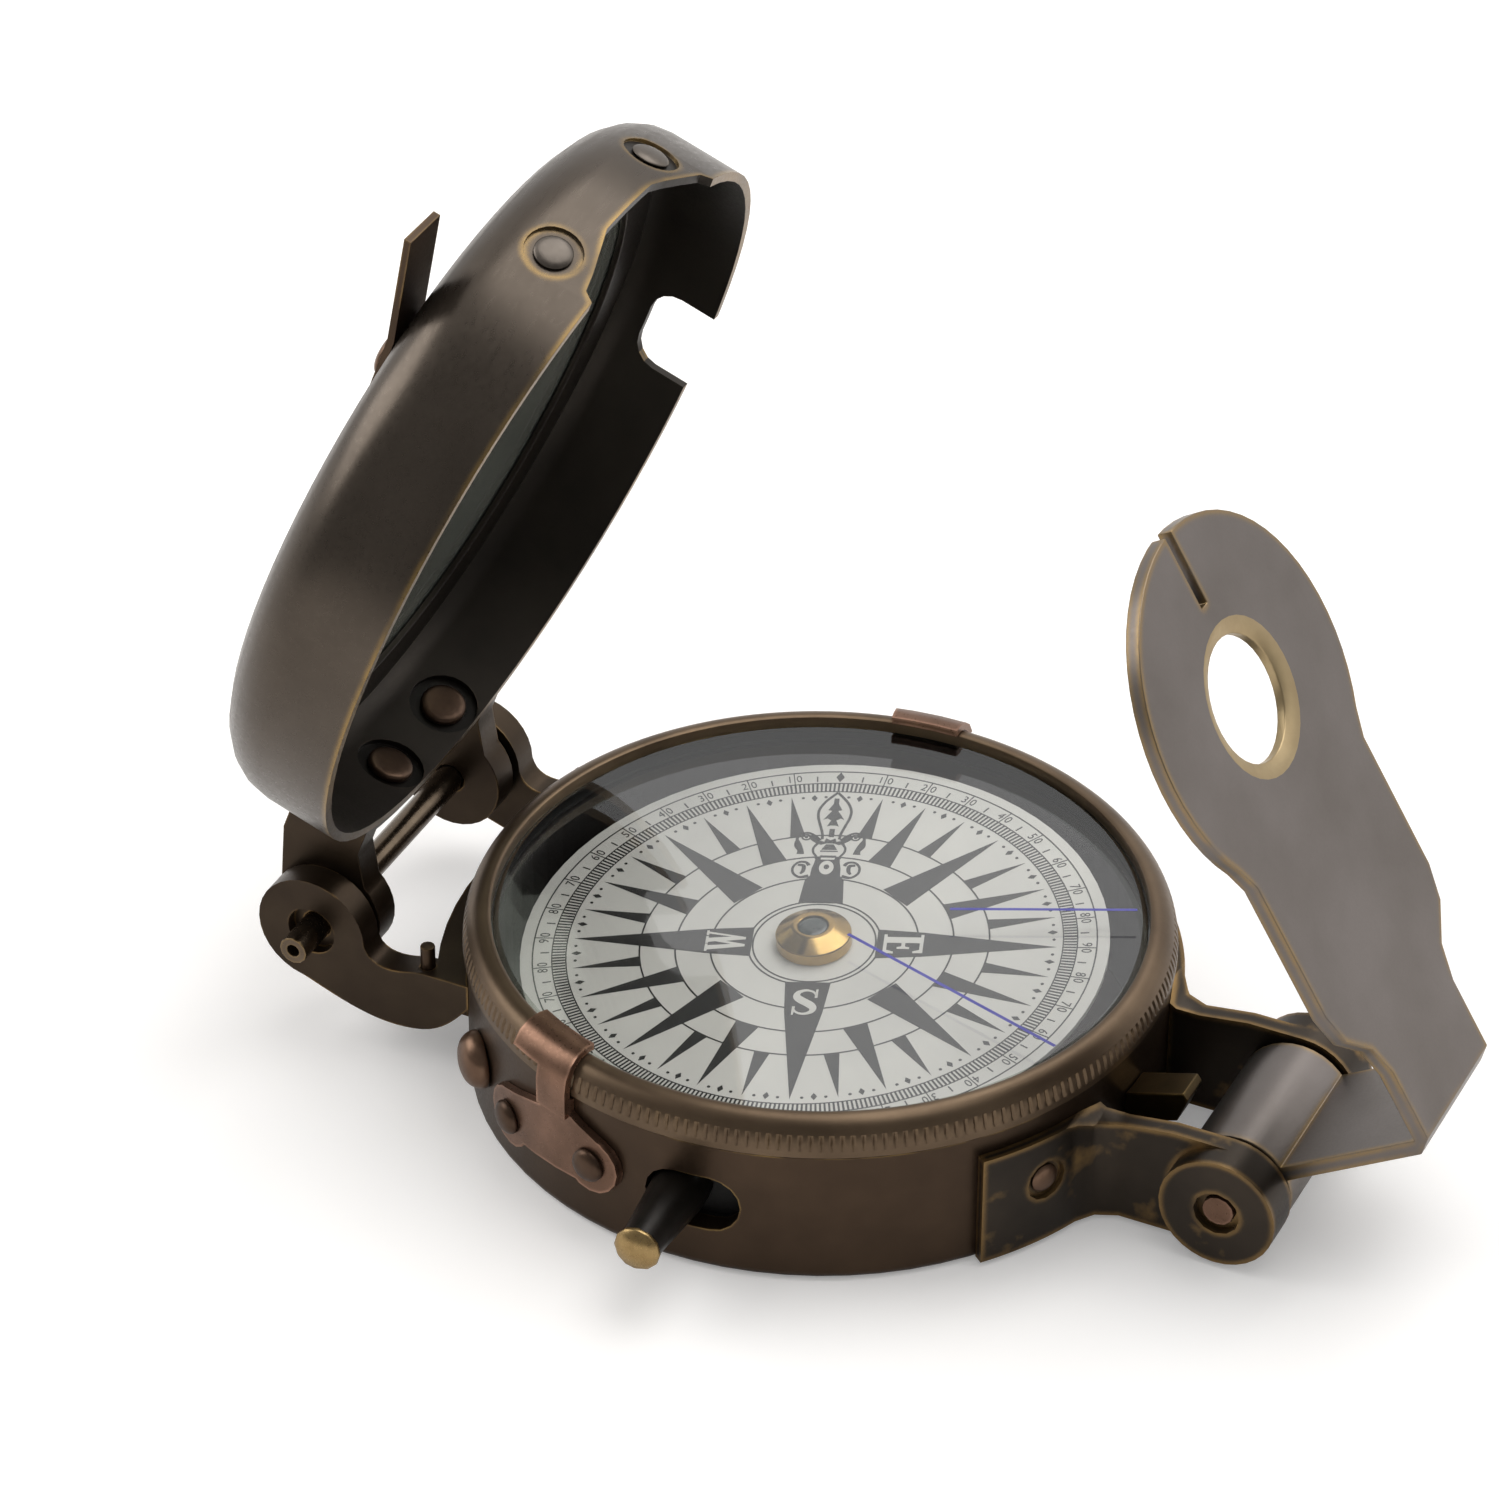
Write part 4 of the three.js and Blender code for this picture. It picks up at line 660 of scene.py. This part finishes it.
BARS = ([(0.72, 11.97), (0.72, 11.84)], [(0.66, 11.32), (0.66, 11.2)])
BODY = [
    (0.55, 10.78), (0.6, 11.1), (0.98, 11.1), (1.05, 10.3), (1.18, 9.6), (1.22, 8.65), (1.58, 8.1),
    (1.8, 5.1),
]
BODY_EYE = (0.6, 0.92, 9.75)
BODY_PUPIL = (0.22, 0.3, 9.85)
# Lines of the lily at its right side, each with its widths
STROKES = (
    ([(0.9, 13.3), (1.3, 13.9), (1.9, 14.3), (2.5, 14.1), (2.75, 13.5), (2.62, 12.9)],
     [0.3, 0.18, 0.18, 0.18, 0.2, 0.3]),
    ([(1.7, 13.95), (1.35, 13.6), (1.0, 13.2)], [0.3, 0.55, 0.45]),
    ([(2.72, 13.2), (2.6, 12.6), (2.35, 12.0), (2.3, 11.5)], [0.3, 0.5, 0.4, 0.5]),
    ([(1.0, 12.95), (1.3, 12.3), (1.25, 11.7), (0.98, 11.2), (0.95, 10.9)], [0.2, 0.16, 0.16, 0.16, 0.2]),
    ([(1.35, 8.62), (2.1, 8.45), (2.65, 9.0), (2.7, 9.8), (2.3, 10.4), (1.72, 10.4), (1.45, 10.0)],
     [0.3, 0.2, 0.17, 0.17, 0.17, 0.2, 0.25]),
    ([(2.35, 10.05), (1.88, 9.95), (1.85, 9.3), (2.05, 8.9)], [0.2, 0.26, 0.26, 0.15]),
)
# The ring in its curl: centre, outer and inner radius, and the dot inside
CURL_EYE = ((2.02, 13.72), 0.42, 0.27, 0.14)
# Width of the line round the lance, and how bold the other lines are drawn
LANCE_WIDTH, BOLD = 0.23, 1.25


def along(points, steps=6):
    """A smooth run of points through the given ones."""
    ends = [points[0], *points, points[-1]]
    run = []
    for a, b, c, d in zip(ends, ends[1:], ends[2:], ends[3:]):
        for step in range(steps):
            t = step / steps
            run.append(tuple(
                b[k] + t * (c[k] - a[k]) / 2 + t * t * (2 * a[k] - 5 * b[k] + 4 * c[k] - d[k]) / 2
                + t ** 3 * (3 * b[k] - 3 * c[k] + d[k] - a[k]) / 2
                for k in range(len(b))
            ))
    return run + [points[-1]]


def stroke(points, widths):
    """The outline of a smooth line whose width changes along it."""
    run = along([(x, y, w) for (x, y), w in zip(points, widths)])
    left, right = [], []
    for index, (x, y, width) in enumerate(run):
        (x0, y0, _), (x1, y1, _) = run[max(index - 1, 0)], run[min(index + 1, len(run) - 1)]
        reach = math.hypot(x1 - x0, y1 - y0)
        across = ((y0 - y1) / reach * width / 2, (x1 - x0) / reach * width / 2)
        left.append((x + across[0], y + across[1]))
        right.append((x - across[0], y - across[1]))
    return left + right[::-1]


def flipped(shape):
    """The mirror image at the other side of the north line."""
    return [(-x, y) for x, y in reversed(shape)]


def both_halves(half):
    """A closed outline from its right half."""
    return half + [(x, y) for x, y in flipped(half) if x]


def oval(half_width, half_height, height, sides=24):
    """An oval as an outline, on the north line."""
    turns = [2 * math.pi * i / sides for i in range(sides)]
    return [(half_width * math.cos(a), height + half_height * math.sin(a)) for a in turns]


def point_outline(index):
    """The outline of one of the 32 points of the rose."""
    sides = KINDS.get(index % 8, THIRD)
    bearing = index * POINT_STEP
    spread = [(math.hypot(half, foot), math.degrees(math.atan2(half, foot))) for foot, half in sides]
    left = [polar(reach, bearing - lean) for reach, lean in spread]
    right = [polar(reach, bearing + lean) for reach, lean in reversed(spread)]
    return left + [polar(POINT_TIP, bearing)] + right


def north_pieces():
    """The groups of outlines of the north point: in each group an outline within another is a hole."""
    groups = [
        [both_halves(LANCE_TREE)], [both_halves(LANCE_STEM)], [both_halves(COLLAR)], [both_halves(NECK)],
        [both_halves(BODY), oval(*BODY_EYE)], [oval(*BODY_PUPIL)], *([both_halves(bar)] for bar in BARS),
    ]
    centre, outer, inner, pupil = CURL_EYE
    halves = [[stroke(LANCE, [LANCE_WIDTH] * len(LANCE))]]
    halves += [[stroke(points, [BOLD * width for width in widths])] for points, widths in STROKES]
    halves.append([round_loop(outer, centre, 20), round_loop(inner, centre, 20)])
    halves.append([round_loop(pupil, centre, 12)])
    return groups + halves + [[flipped(loop) for loop in half] for half in halves]


def scale_shapes():
    """The degree band, the ticks between the figures, and the dots and lozenges inside the band."""
    def tick(bearing, mark):
        inner, outer, half = mark
        return [polar(inner, bearing - half), polar(outer, bearing - half), polar(outer, bearing + half),
                polar(inner, bearing + half)]

    loops = [tick(degree, DEGREE_MARK) for degree in range(360)]
    loops += [tick(degree, FIVES_MARK if degree % 10 else TENS_MARK) for degree in range(5, 360, 5)]
    loops.append([polar(radius, bearing) for radius, bearing in NORTH_MARK])
    for index in range(POINTS):
        middle = (index + 0.5) * POINT_STEP
        loops.append([
            polar(LOZENGE_RADIUS - LOZENGE_HALF, middle), polar(LOZENGE_RADIUS, middle - LOZENGE_LEAN),
            polar(LOZENGE_RADIUS + LOZENGE_HALF, middle), polar(LOZENGE_RADIUS, middle + LOZENGE_LEAN),
        ])
        for lean in (-DOT_LEAN, DOT_LEAN):
            loops.append(round_loop(DOT_RADIUS, polar(LOZENGE_RADIUS + DOT_LIFT, middle + lean), 8))
    return loops


class COMPASS_OT_metal(bpy.types.Operator):
    """The case, lid, leaf, brackets and clips, with rounded and rubbed edges"""

    bl_idname = "compass.metal"
    bl_label = "Case, lid and leaf"

    def execute(self, context):
        width = context.scene.compass_sizes.edge_round
        pieces = {node: dressed_copy(node, width) for node in CAST_NODES + CLIP_NODES}
        lid, leaf = pieces["lid_shell"], pieces["sight_leaf"]
        # The lid's inside is painted near black: painted shade.
        put_on(lid, "lid", "shaded_inside", "lid_rim", "black")
        for face, place, direction in shut_places(lid, LID_HINGE, LID_OPEN):
            on_rim = direction.z < LID_RIM_FACING and place.z < LID_RIM_TOP
            face.material_index = 2 if on_rim else int(inside_lid(place))
            # The recesses behind the ears' rivets are painted black: painted shade.
            if in_rivet_recess(place):
                face.material_index = 3
        # The leaf's faces are painted light grey: painted reflection.
        put_on(leaf, "leaf", "leaf_hole")
        # The bevel of the sight hole is painted pale brass: painted highlight.
        for face, place, direction in shut_places(leaf, LEAF_HINGE, LEAF_OPEN):
            face.material_index = int(in_leaf_bevel(place, direction))
        return {"FINISHED"}


class COMPASS_OT_rivets(bpy.types.Operator):
    """The rivets, with domed heads"""

    bl_idname = "compass.rivets"
    bl_label = "Rivets"

    def execute(self, context):
        for node in RIVETS:
            dressed_copy(node, RIVET_ROUND, levels=2, smooth=DOME_SHARP)
        return {"FINISHED"}


class COMPASS_OT_pins(bpy.types.Operator):
    """The hinge pins with their washers, the stop pins and the lock lever"""

    bl_idname = "compass.pins"
    bl_label = "Pins and lever"

    def execute(self, context):
        for node in PIN_NODES:
            dressed_copy(node, PIN_ROUND)
        return {"FINISHED"}


# The bezel's outline: outer radius, where its round shoulder ends, height, and the steps of its bore
BEZEL_OUTER, BEZEL_CREST, BEZEL_BOTTOM, BEZEL_TOP = 28.5, 26.6, 12.3, 15.3
BEZEL_LIP, BEZEL_STEP, BEZEL_BORE, BEZEL_FOOT = 26.2, 14.25, 27.2, 0.5
# Angles of the shoulder's points; the serrations run from the third to the fifth
SHOULDER = (0, 4, 9, 20, 31, 36, 46, 56, 66, 75, 83, 90)
FIRST_CUT, LAST_CUT = 2, 4
# Faces round each serration; the third is its groove
PHASES, GROOVE = 4, 2
BEZEL_SMOOTH = 28


class COMPASS_OT_bezel(bpy.types.Operator):
    """The turning bezel, with serrations round its outside"""

    bl_idname = "compass.bezel"
    bl_label = "Bezel"

    def execute(self, context):
        sizes = context.scene.compass_sizes
        swell, foot = BEZEL_OUTER - BEZEL_CREST, BEZEL_BOTTOM + BEZEL_FOOT
        rise = BEZEL_TOP - foot
        shoulder = [
            (BEZEL_CREST + swell * math.cos(math.radians(a)), foot + rise * math.sin(math.radians(a)))
            for a in SHOULDER
        ]
        outline = [
            (BEZEL_OUTER - 0.1, BEZEL_BOTTOM), (BEZEL_OUTER, BEZEL_BOTTOM + 0.1), *shoulder,
            (BEZEL_CREST - 0.2, BEZEL_TOP - 0.02), (BEZEL_LIP + 0.06, BEZEL_TOP - 0.1),
            (BEZEL_LIP, BEZEL_TOP - 0.22), (BEZEL_LIP, BEZEL_STEP), (BEZEL_BORE, BEZEL_STEP),
            (BEZEL_BORE, BEZEL_BOTTOM),
        ]
        piece = turned(outline, PHASES * sizes.bezel_teeth, solid=False)
        edit_all(piece)
        bpy.ops.mesh.select_mode(type="VERT")
        bpy.ops.mesh.select_all(action="DESELECT")
        bpy.ops.object.mode_set(mode="OBJECT")
        low, high = shoulder[FIRST_CUT][1] - 0.05, shoulder[LAST_CUT][1] + 0.05
        pitch = 2 * math.pi / sizes.bezel_teeth
        for vertex in piece.data.vertices:
            x, y, z = vertex.co / MM
            phase = round(PHASES * (math.atan2(y, x) % pitch) / pitch) % PHASES
            vertex.select = low < z < high and math.hypot(x, y) > BEZEL_CREST and phase == GROOVE
        bpy.ops.object.mode_set(mode="EDIT")
        share = 1 - sizes.tooth_depth / (BEZEL_OUTER * MM)
        bpy.ops.transform.resize(value=(share, share, 1), center_override=(0, 0, 0))
        bpy.ops.object.mode_set(mode="OBJECT")
        bpy.ops.object.shade_smooth_by_angle(angle=math.radians(BEZEL_SMOOTH))
        put_on(piece, "bezel")
        settle(piece, "turning_bezel", "bezel", ["bezel_ring"])
        return {"FINISHED"}


# The crystal's outline from its underside to its flat top, and where the two lines on it start and end
CRYSTAL_OUTLINE = [(26.9, 13.35), (26.9, 14.2), (26.1, 14.2), (25.75, 14.6), (25.6, 14.7)]
CRYSTAL_TOP = CRYSTAL_OUTLINE[-1][1]
LINES = (((9.15, 4.75), (22.6, 11.2)), ((3.27, -1.84), (23.74, -7.9)))
PAINT_THICKNESS, PAINT_LIFT = 0.01, 0.005
CRYSTAL_SMOOTH = 20


class COMPASS_OT_crystal(bpy.types.Operator):
    """The bevelled crystal and the two lines painted on it"""

    bl_idname = "compass.crystal"
    bl_label = "Crystal"

    def execute(self, context):
        sizes = context.scene.compass_sizes
        piece = turned(CRYSTAL_OUTLINE, 128, solid=True)
        put_on(piece, "glass", "glass_edge")
        for face in piece.data.polygons:
            flat_top = face.normal.z > 0.9 and face.center.z > (CRYSTAL_TOP - 0.1) * MM
            face.material_index = 0 if flat_top or face.normal.z < -0.9 else 1
        bpy.ops.object.shade_smooth_by_angle(angle=math.radians(CRYSTAL_SMOOTH))
        settle(piece, "bevelled_crystal", "bezel", ["crystal"])
        half = sizes.line_width / MM / 2
        strips = []
        for start, end in LINES:
            a, b = Vector(start), Vector(end)
            run = (b - a).normalized()
            side = Vector((-run.y, run.x)) * half
            strips.append([tuple(a - side), tuple(b - side), tuple(b + side), tuple(a + side)])
        lines = printed(strips, PAINT_THICKNESS * MM, (CRYSTAL_TOP + PAINT_LIFT) * MM)
        put_on(lines, "line")
        settle(lines, "painted_lines", "bezel")
        return {"FINISHED"}


# The cap's outline about the card's pivot: bore, rim of the jewel, cone, edge, flange and hub
CAP_OUTLINE = [
    (1.25, 1.36), (1.3, 1.4), (1.7, 1.4), (1.78, 1.37), (2.98, 0.73), (3.05, 0.62), (3.05, -0.28),
    (2.98, -0.35), (2.0, -0.35), (2.0, -2.2), (1.25, -2.2),
]
CAP_SMOOTH = 24
# A hair's breadth between the card and its printing
PRINT_LIFT = 0.005 * MM


class COMPASS_OT_card(bpy.types.Operator):
    """The card's cap, jewel and printing"""

    bl_idname = "compass.card"
    bl_label = "Card"

    def execute(self, context):
        ink = context.scene.compass_sizes.ink_thickness
        place = card_place()
        above = CARD_TOP + PRINT_LIFT
        small = [point_outline(index) for index in range(POINTS) if index % 8]
        black = [printed(small, ink, above), printed(scale_shapes(), ink, above)]
        black += [printed([point_outline(index)], ink, above) for index in (8, 16, 24)]
        black += [printed(group, ink, above) for group in north_pieces()]
        for radius, width in RINGS:
            ring = [round_loop(radius), round_loop(radius - width)]
            black.append(printed(ring, ink * RING_INK, above))
        for quadrant in range(4):
            for tens in range(1, 10):
                bearing = quadrant * 90 + (tens * 10 if quadrant % 2 == 0 else 90 - tens * 10)
                if tens < 9 or quadrant % 2 == 0:
                    black.append(figure(f"{tens} 0", bearing, ink, above))
        black = moved_into(joined(black), place)
        put_on(black, "ink")
        settle(black, "card_printing", "card")
        upper_serif, lower_serif = S_SERIF, [(-x, -y) for x, y in S_SERIF]
        pale = [
            letter(shape, radius, bearing, ink, above + ink)
            for shape, radius, bearing in (
                (LETTER_E, LETTER_RADIUS, 90), (stroke(S_CURVE, S_WIDTHS), S_RADIUS, 180),
                (upper_serif, S_RADIUS, 180), (lower_serif, S_RADIUS, 180), (LETTER_W, LETTER_RADIUS, 270),
            )
        ]
        pale = moved_into(joined(pale), place)
        put_on(pale, "card")
        settle(pale, "card_letters", "card")

        cap = turned(CAP_OUTLINE, 96, solid=False)
        moved_into(cap, place)
        bpy.ops.object.shade_smooth_by_angle(angle=math.radians(CAP_SMOOTH))
        put_on(cap, "brass")
        settle(cap, "turned_cap", "card", ["card_cap"])
        dressed_copy("cap_jewel", JEWEL_ROUND, levels=2, smooth=DOME_SHARP)
        return {"FINISHED"}


class COMPASS_OT_inside(bpy.types.Operator):
    """The pieces that keep their CAD shape: card, mirror, gasket and the lock's inner works"""

    bl_idname = "compass.inside"
    bl_label = "Inner pieces"

    def execute(self, context):
        for name, node in frame["nodes"].items():
            if not node.hide_render:
                put_on(node, node_finish(name))
        return {"FINISHED"}


# Where the photograph was taken from, in metres, and which way that looks
CAMERA_PLACE = Vector((0.16558919, -0.35875696, 0.30744203))
CAMERA_RIGHT = Vector((0.9005209, 0.43479161, 0.00428643))
CAMERA_UP = Vector((-0.25286154, 0.51564488, 0.81863997))
CAMERA_LENS = 148.32
# Soft lamps as (name, place in metres, size, watts); each points at the middle of the compass
SOFTBOXES = (
    ("top softbox", (0.12, 0.25, 0.7), 0.7, 3.2),
    ("left softbox", (-0.65, -0.12, 0.45), 0.5, 2.0),
    ("right softbox", (0.55, 0.5, 0.45), 0.5, 0.5),
)
COMPASS_MIDDLE = Vector((0, 0, 0.03))
FLOOR_SIZE, FLOOR_DROP, FLOOR_GLOW = 3, 0.00002, 0.2
# The room's light on the compass, and what its metal mirrors: dim in front, white towards the back wall
ROOM_LIGHT = 0.72
BACK_WALL = (-0.43, 0.9, 0.0)
MIRRORED = {"From Min": -0.3, "From Max": 0.35, "To Min": 0.25, "To Max": 1.0}


def white_table():
    """Warm white paper, brighter to the eye than it lights the compass."""
    material, tree = shader_tree("white table")
    place = add(tree, "ShaderNodeTexCoord").outputs["Object"]
    paper = mixed(tree, mottle(tree, place, 30.0, 0, 1), linear("#f5f2ef"), linear("#f8f6f4"))
    shade = add(tree, "ShaderNodeBsdfDiffuse", {"Color": paper})
    seen = add(tree, "ShaderNodeLightPath").outputs["Is Camera Ray"]
    lift = add(tree, "ShaderNodeMath", {0: seen, 1: FLOOR_GLOW}, operation="MULTIPLY").outputs[0]
    glow = add(tree, "ShaderNodeEmission", {"Strength": lift})
    both = add(tree, "ShaderNodeAddShader", {0: shade.outputs[0], 1: glow.outputs[0]})
    add(tree, "ShaderNodeOutputMaterial", {"Surface": both.outputs[0]})
    return material


def studio_world():
    """A white backdrop for the camera, even light for the room, and a graded wall for the reflections."""
    world = bpy.data.worlds.new("studio")
    world.use_nodes = True
    tree = world.node_tree
    tree.nodes.clear()
    path = add(tree, "ShaderNodeLightPath").outputs
    towards = add(tree, "ShaderNodeTexCoord").outputs["Generated"]
    facing = add(tree, "ShaderNodeVectorMath", {0: towards, 1: BACK_WALL}, operation="DOT_PRODUCT")
    wall = add(tree, "ShaderNodeMapRange", {"Value": facing.outputs["Value"], **MIRRORED}).outputs["Result"]
    room, mirrored, white = (
        add(tree, "ShaderNodeBackground", {"Strength": strength}).outputs[0]
        for strength in (ROOM_LIGHT, wall, 1.0)
    )
    lit = add(tree, "ShaderNodeMixShader", {0: path["Is Glossy Ray"], 1: room, 2: mirrored})
    direct = {0: path["Is Camera Ray"], 1: path["Is Transmission Ray"]}
    shown = add(tree, "ShaderNodeMath", direct, operation="MAXIMUM")
    final = add(tree, "ShaderNodeMixShader", {0: shown.outputs[0], 1: lit.outputs[0], 2: white})
    add(tree, "ShaderNodeOutputWorld", {"Surface": final.outputs[0]})
    return world


def softbox(name, place, size, power):
    """A square lamp that points at the compass."""
    lamp = bpy.data.lights.new(name, "AREA")
    lamp.shape = "SQUARE"
    lamp.size = size
    lamp.energy = power
    holder = bpy.data.objects.new(name, lamp)
    bpy.context.scene.collection.objects.link(holder)
    holder.location = place
    holder.rotation_euler = (COMPASS_MIDDLE - Vector(place)).to_track_quat("-Z", "Y").to_euler()


def photo_camera():
    """The view of the photograph."""
    camera = bpy.data.cameras.new("camera")
    camera.lens = CAMERA_LENS
    camera.sensor_width = 36
    camera.clip_start = 0.01
    holder = bpy.data.objects.new("camera", camera)
    bpy.context.scene.collection.objects.link(holder)
    away = CAMERA_RIGHT.cross(CAMERA_UP)
    turn = Matrix((CAMERA_RIGHT, CAMERA_UP, away)).transposed().to_4x4()
    holder.matrix_world = Matrix.Translation(CAMERA_PLACE) @ turn
    return holder


class COMPASS_OT_stage(bpy.types.Operator):
    """The floor, the lamps, the world and the camera"""

    bl_idname = "compass.stage"
    bl_label = "Stage"

    def execute(self, context):
        scene = context.scene
        only(None)
        bpy.ops.mesh.primitive_plane_add(size=FLOOR_SIZE, location=(0, 0, -FLOOR_DROP))
        floor = bpy.context.object
        bpy.ops.object.transform_apply(location=True, rotation=True, scale=True)
        floor.name = "floor"
        floor.data.materials.append(white_table())
        scene.world = studio_world()
        for name, place, size, power in SOFTBOXES:
            softbox(name, place, size, power)
        scene.camera = photo_camera()
        scene.view_settings.view_transform = "Standard"
        return {"FINISHED"}


class COMPASS_PT_panel(bpy.types.Panel):
    """Lists the steps that dress the compass"""

    bl_idname = "COMPASS_PT_panel"
    bl_label = "Pocket Compass"
    bl_space_type = "VIEW_3D"
    bl_region_type = "UI"
    bl_category = "Compass"

    def draw(self, context):
        for group in (context.scene.compass_sizes, context.scene.compass_colours):
            for key in group.bl_rna.properties.keys():
                if key not in ("rna_type", "name"):
                    self.layout.prop(group, key)
        for step in STEPS:
            self.layout.operator(step.bl_idname)


STEPS = (
    COMPASS_OT_metal, COMPASS_OT_rivets, COMPASS_OT_pins, COMPASS_OT_bezel,
    COMPASS_OT_crystal, COMPASS_OT_card, COMPASS_OT_inside, COMPASS_OT_stage,
)
CLASSES = (CompassSizes, CompassColours, *STEPS, COMPASS_PT_panel)


def register():
    """Adds the settings, the steps and the panel."""
    for item in CLASSES:
        bpy.utils.register_class(item)
    bpy.types.Scene.compass_sizes = bpy.props.PointerProperty(type=CompassSizes)
    bpy.types.Scene.compass_colours = bpy.props.PointerProperty(type=CompassColours)


def unregister():
    """Takes them away again."""
    del bpy.types.Scene.compass_colours
    del bpy.types.Scene.compass_sizes
    for item in reversed(CLASSES):
        bpy.utils.unregister_class(item)


def main():
    """Dresses the compass step by step."""
    register()
    bpy.ops.compass.metal()
    bpy.ops.compass.rivets()
    bpy.ops.compass.pins()
    bpy.ops.compass.bezel()
    bpy.ops.compass.crystal()
    bpy.ops.compass.card()
    bpy.ops.compass.inside()
    bpy.ops.compass.stage()


if __name__ == "__main__":
    main()
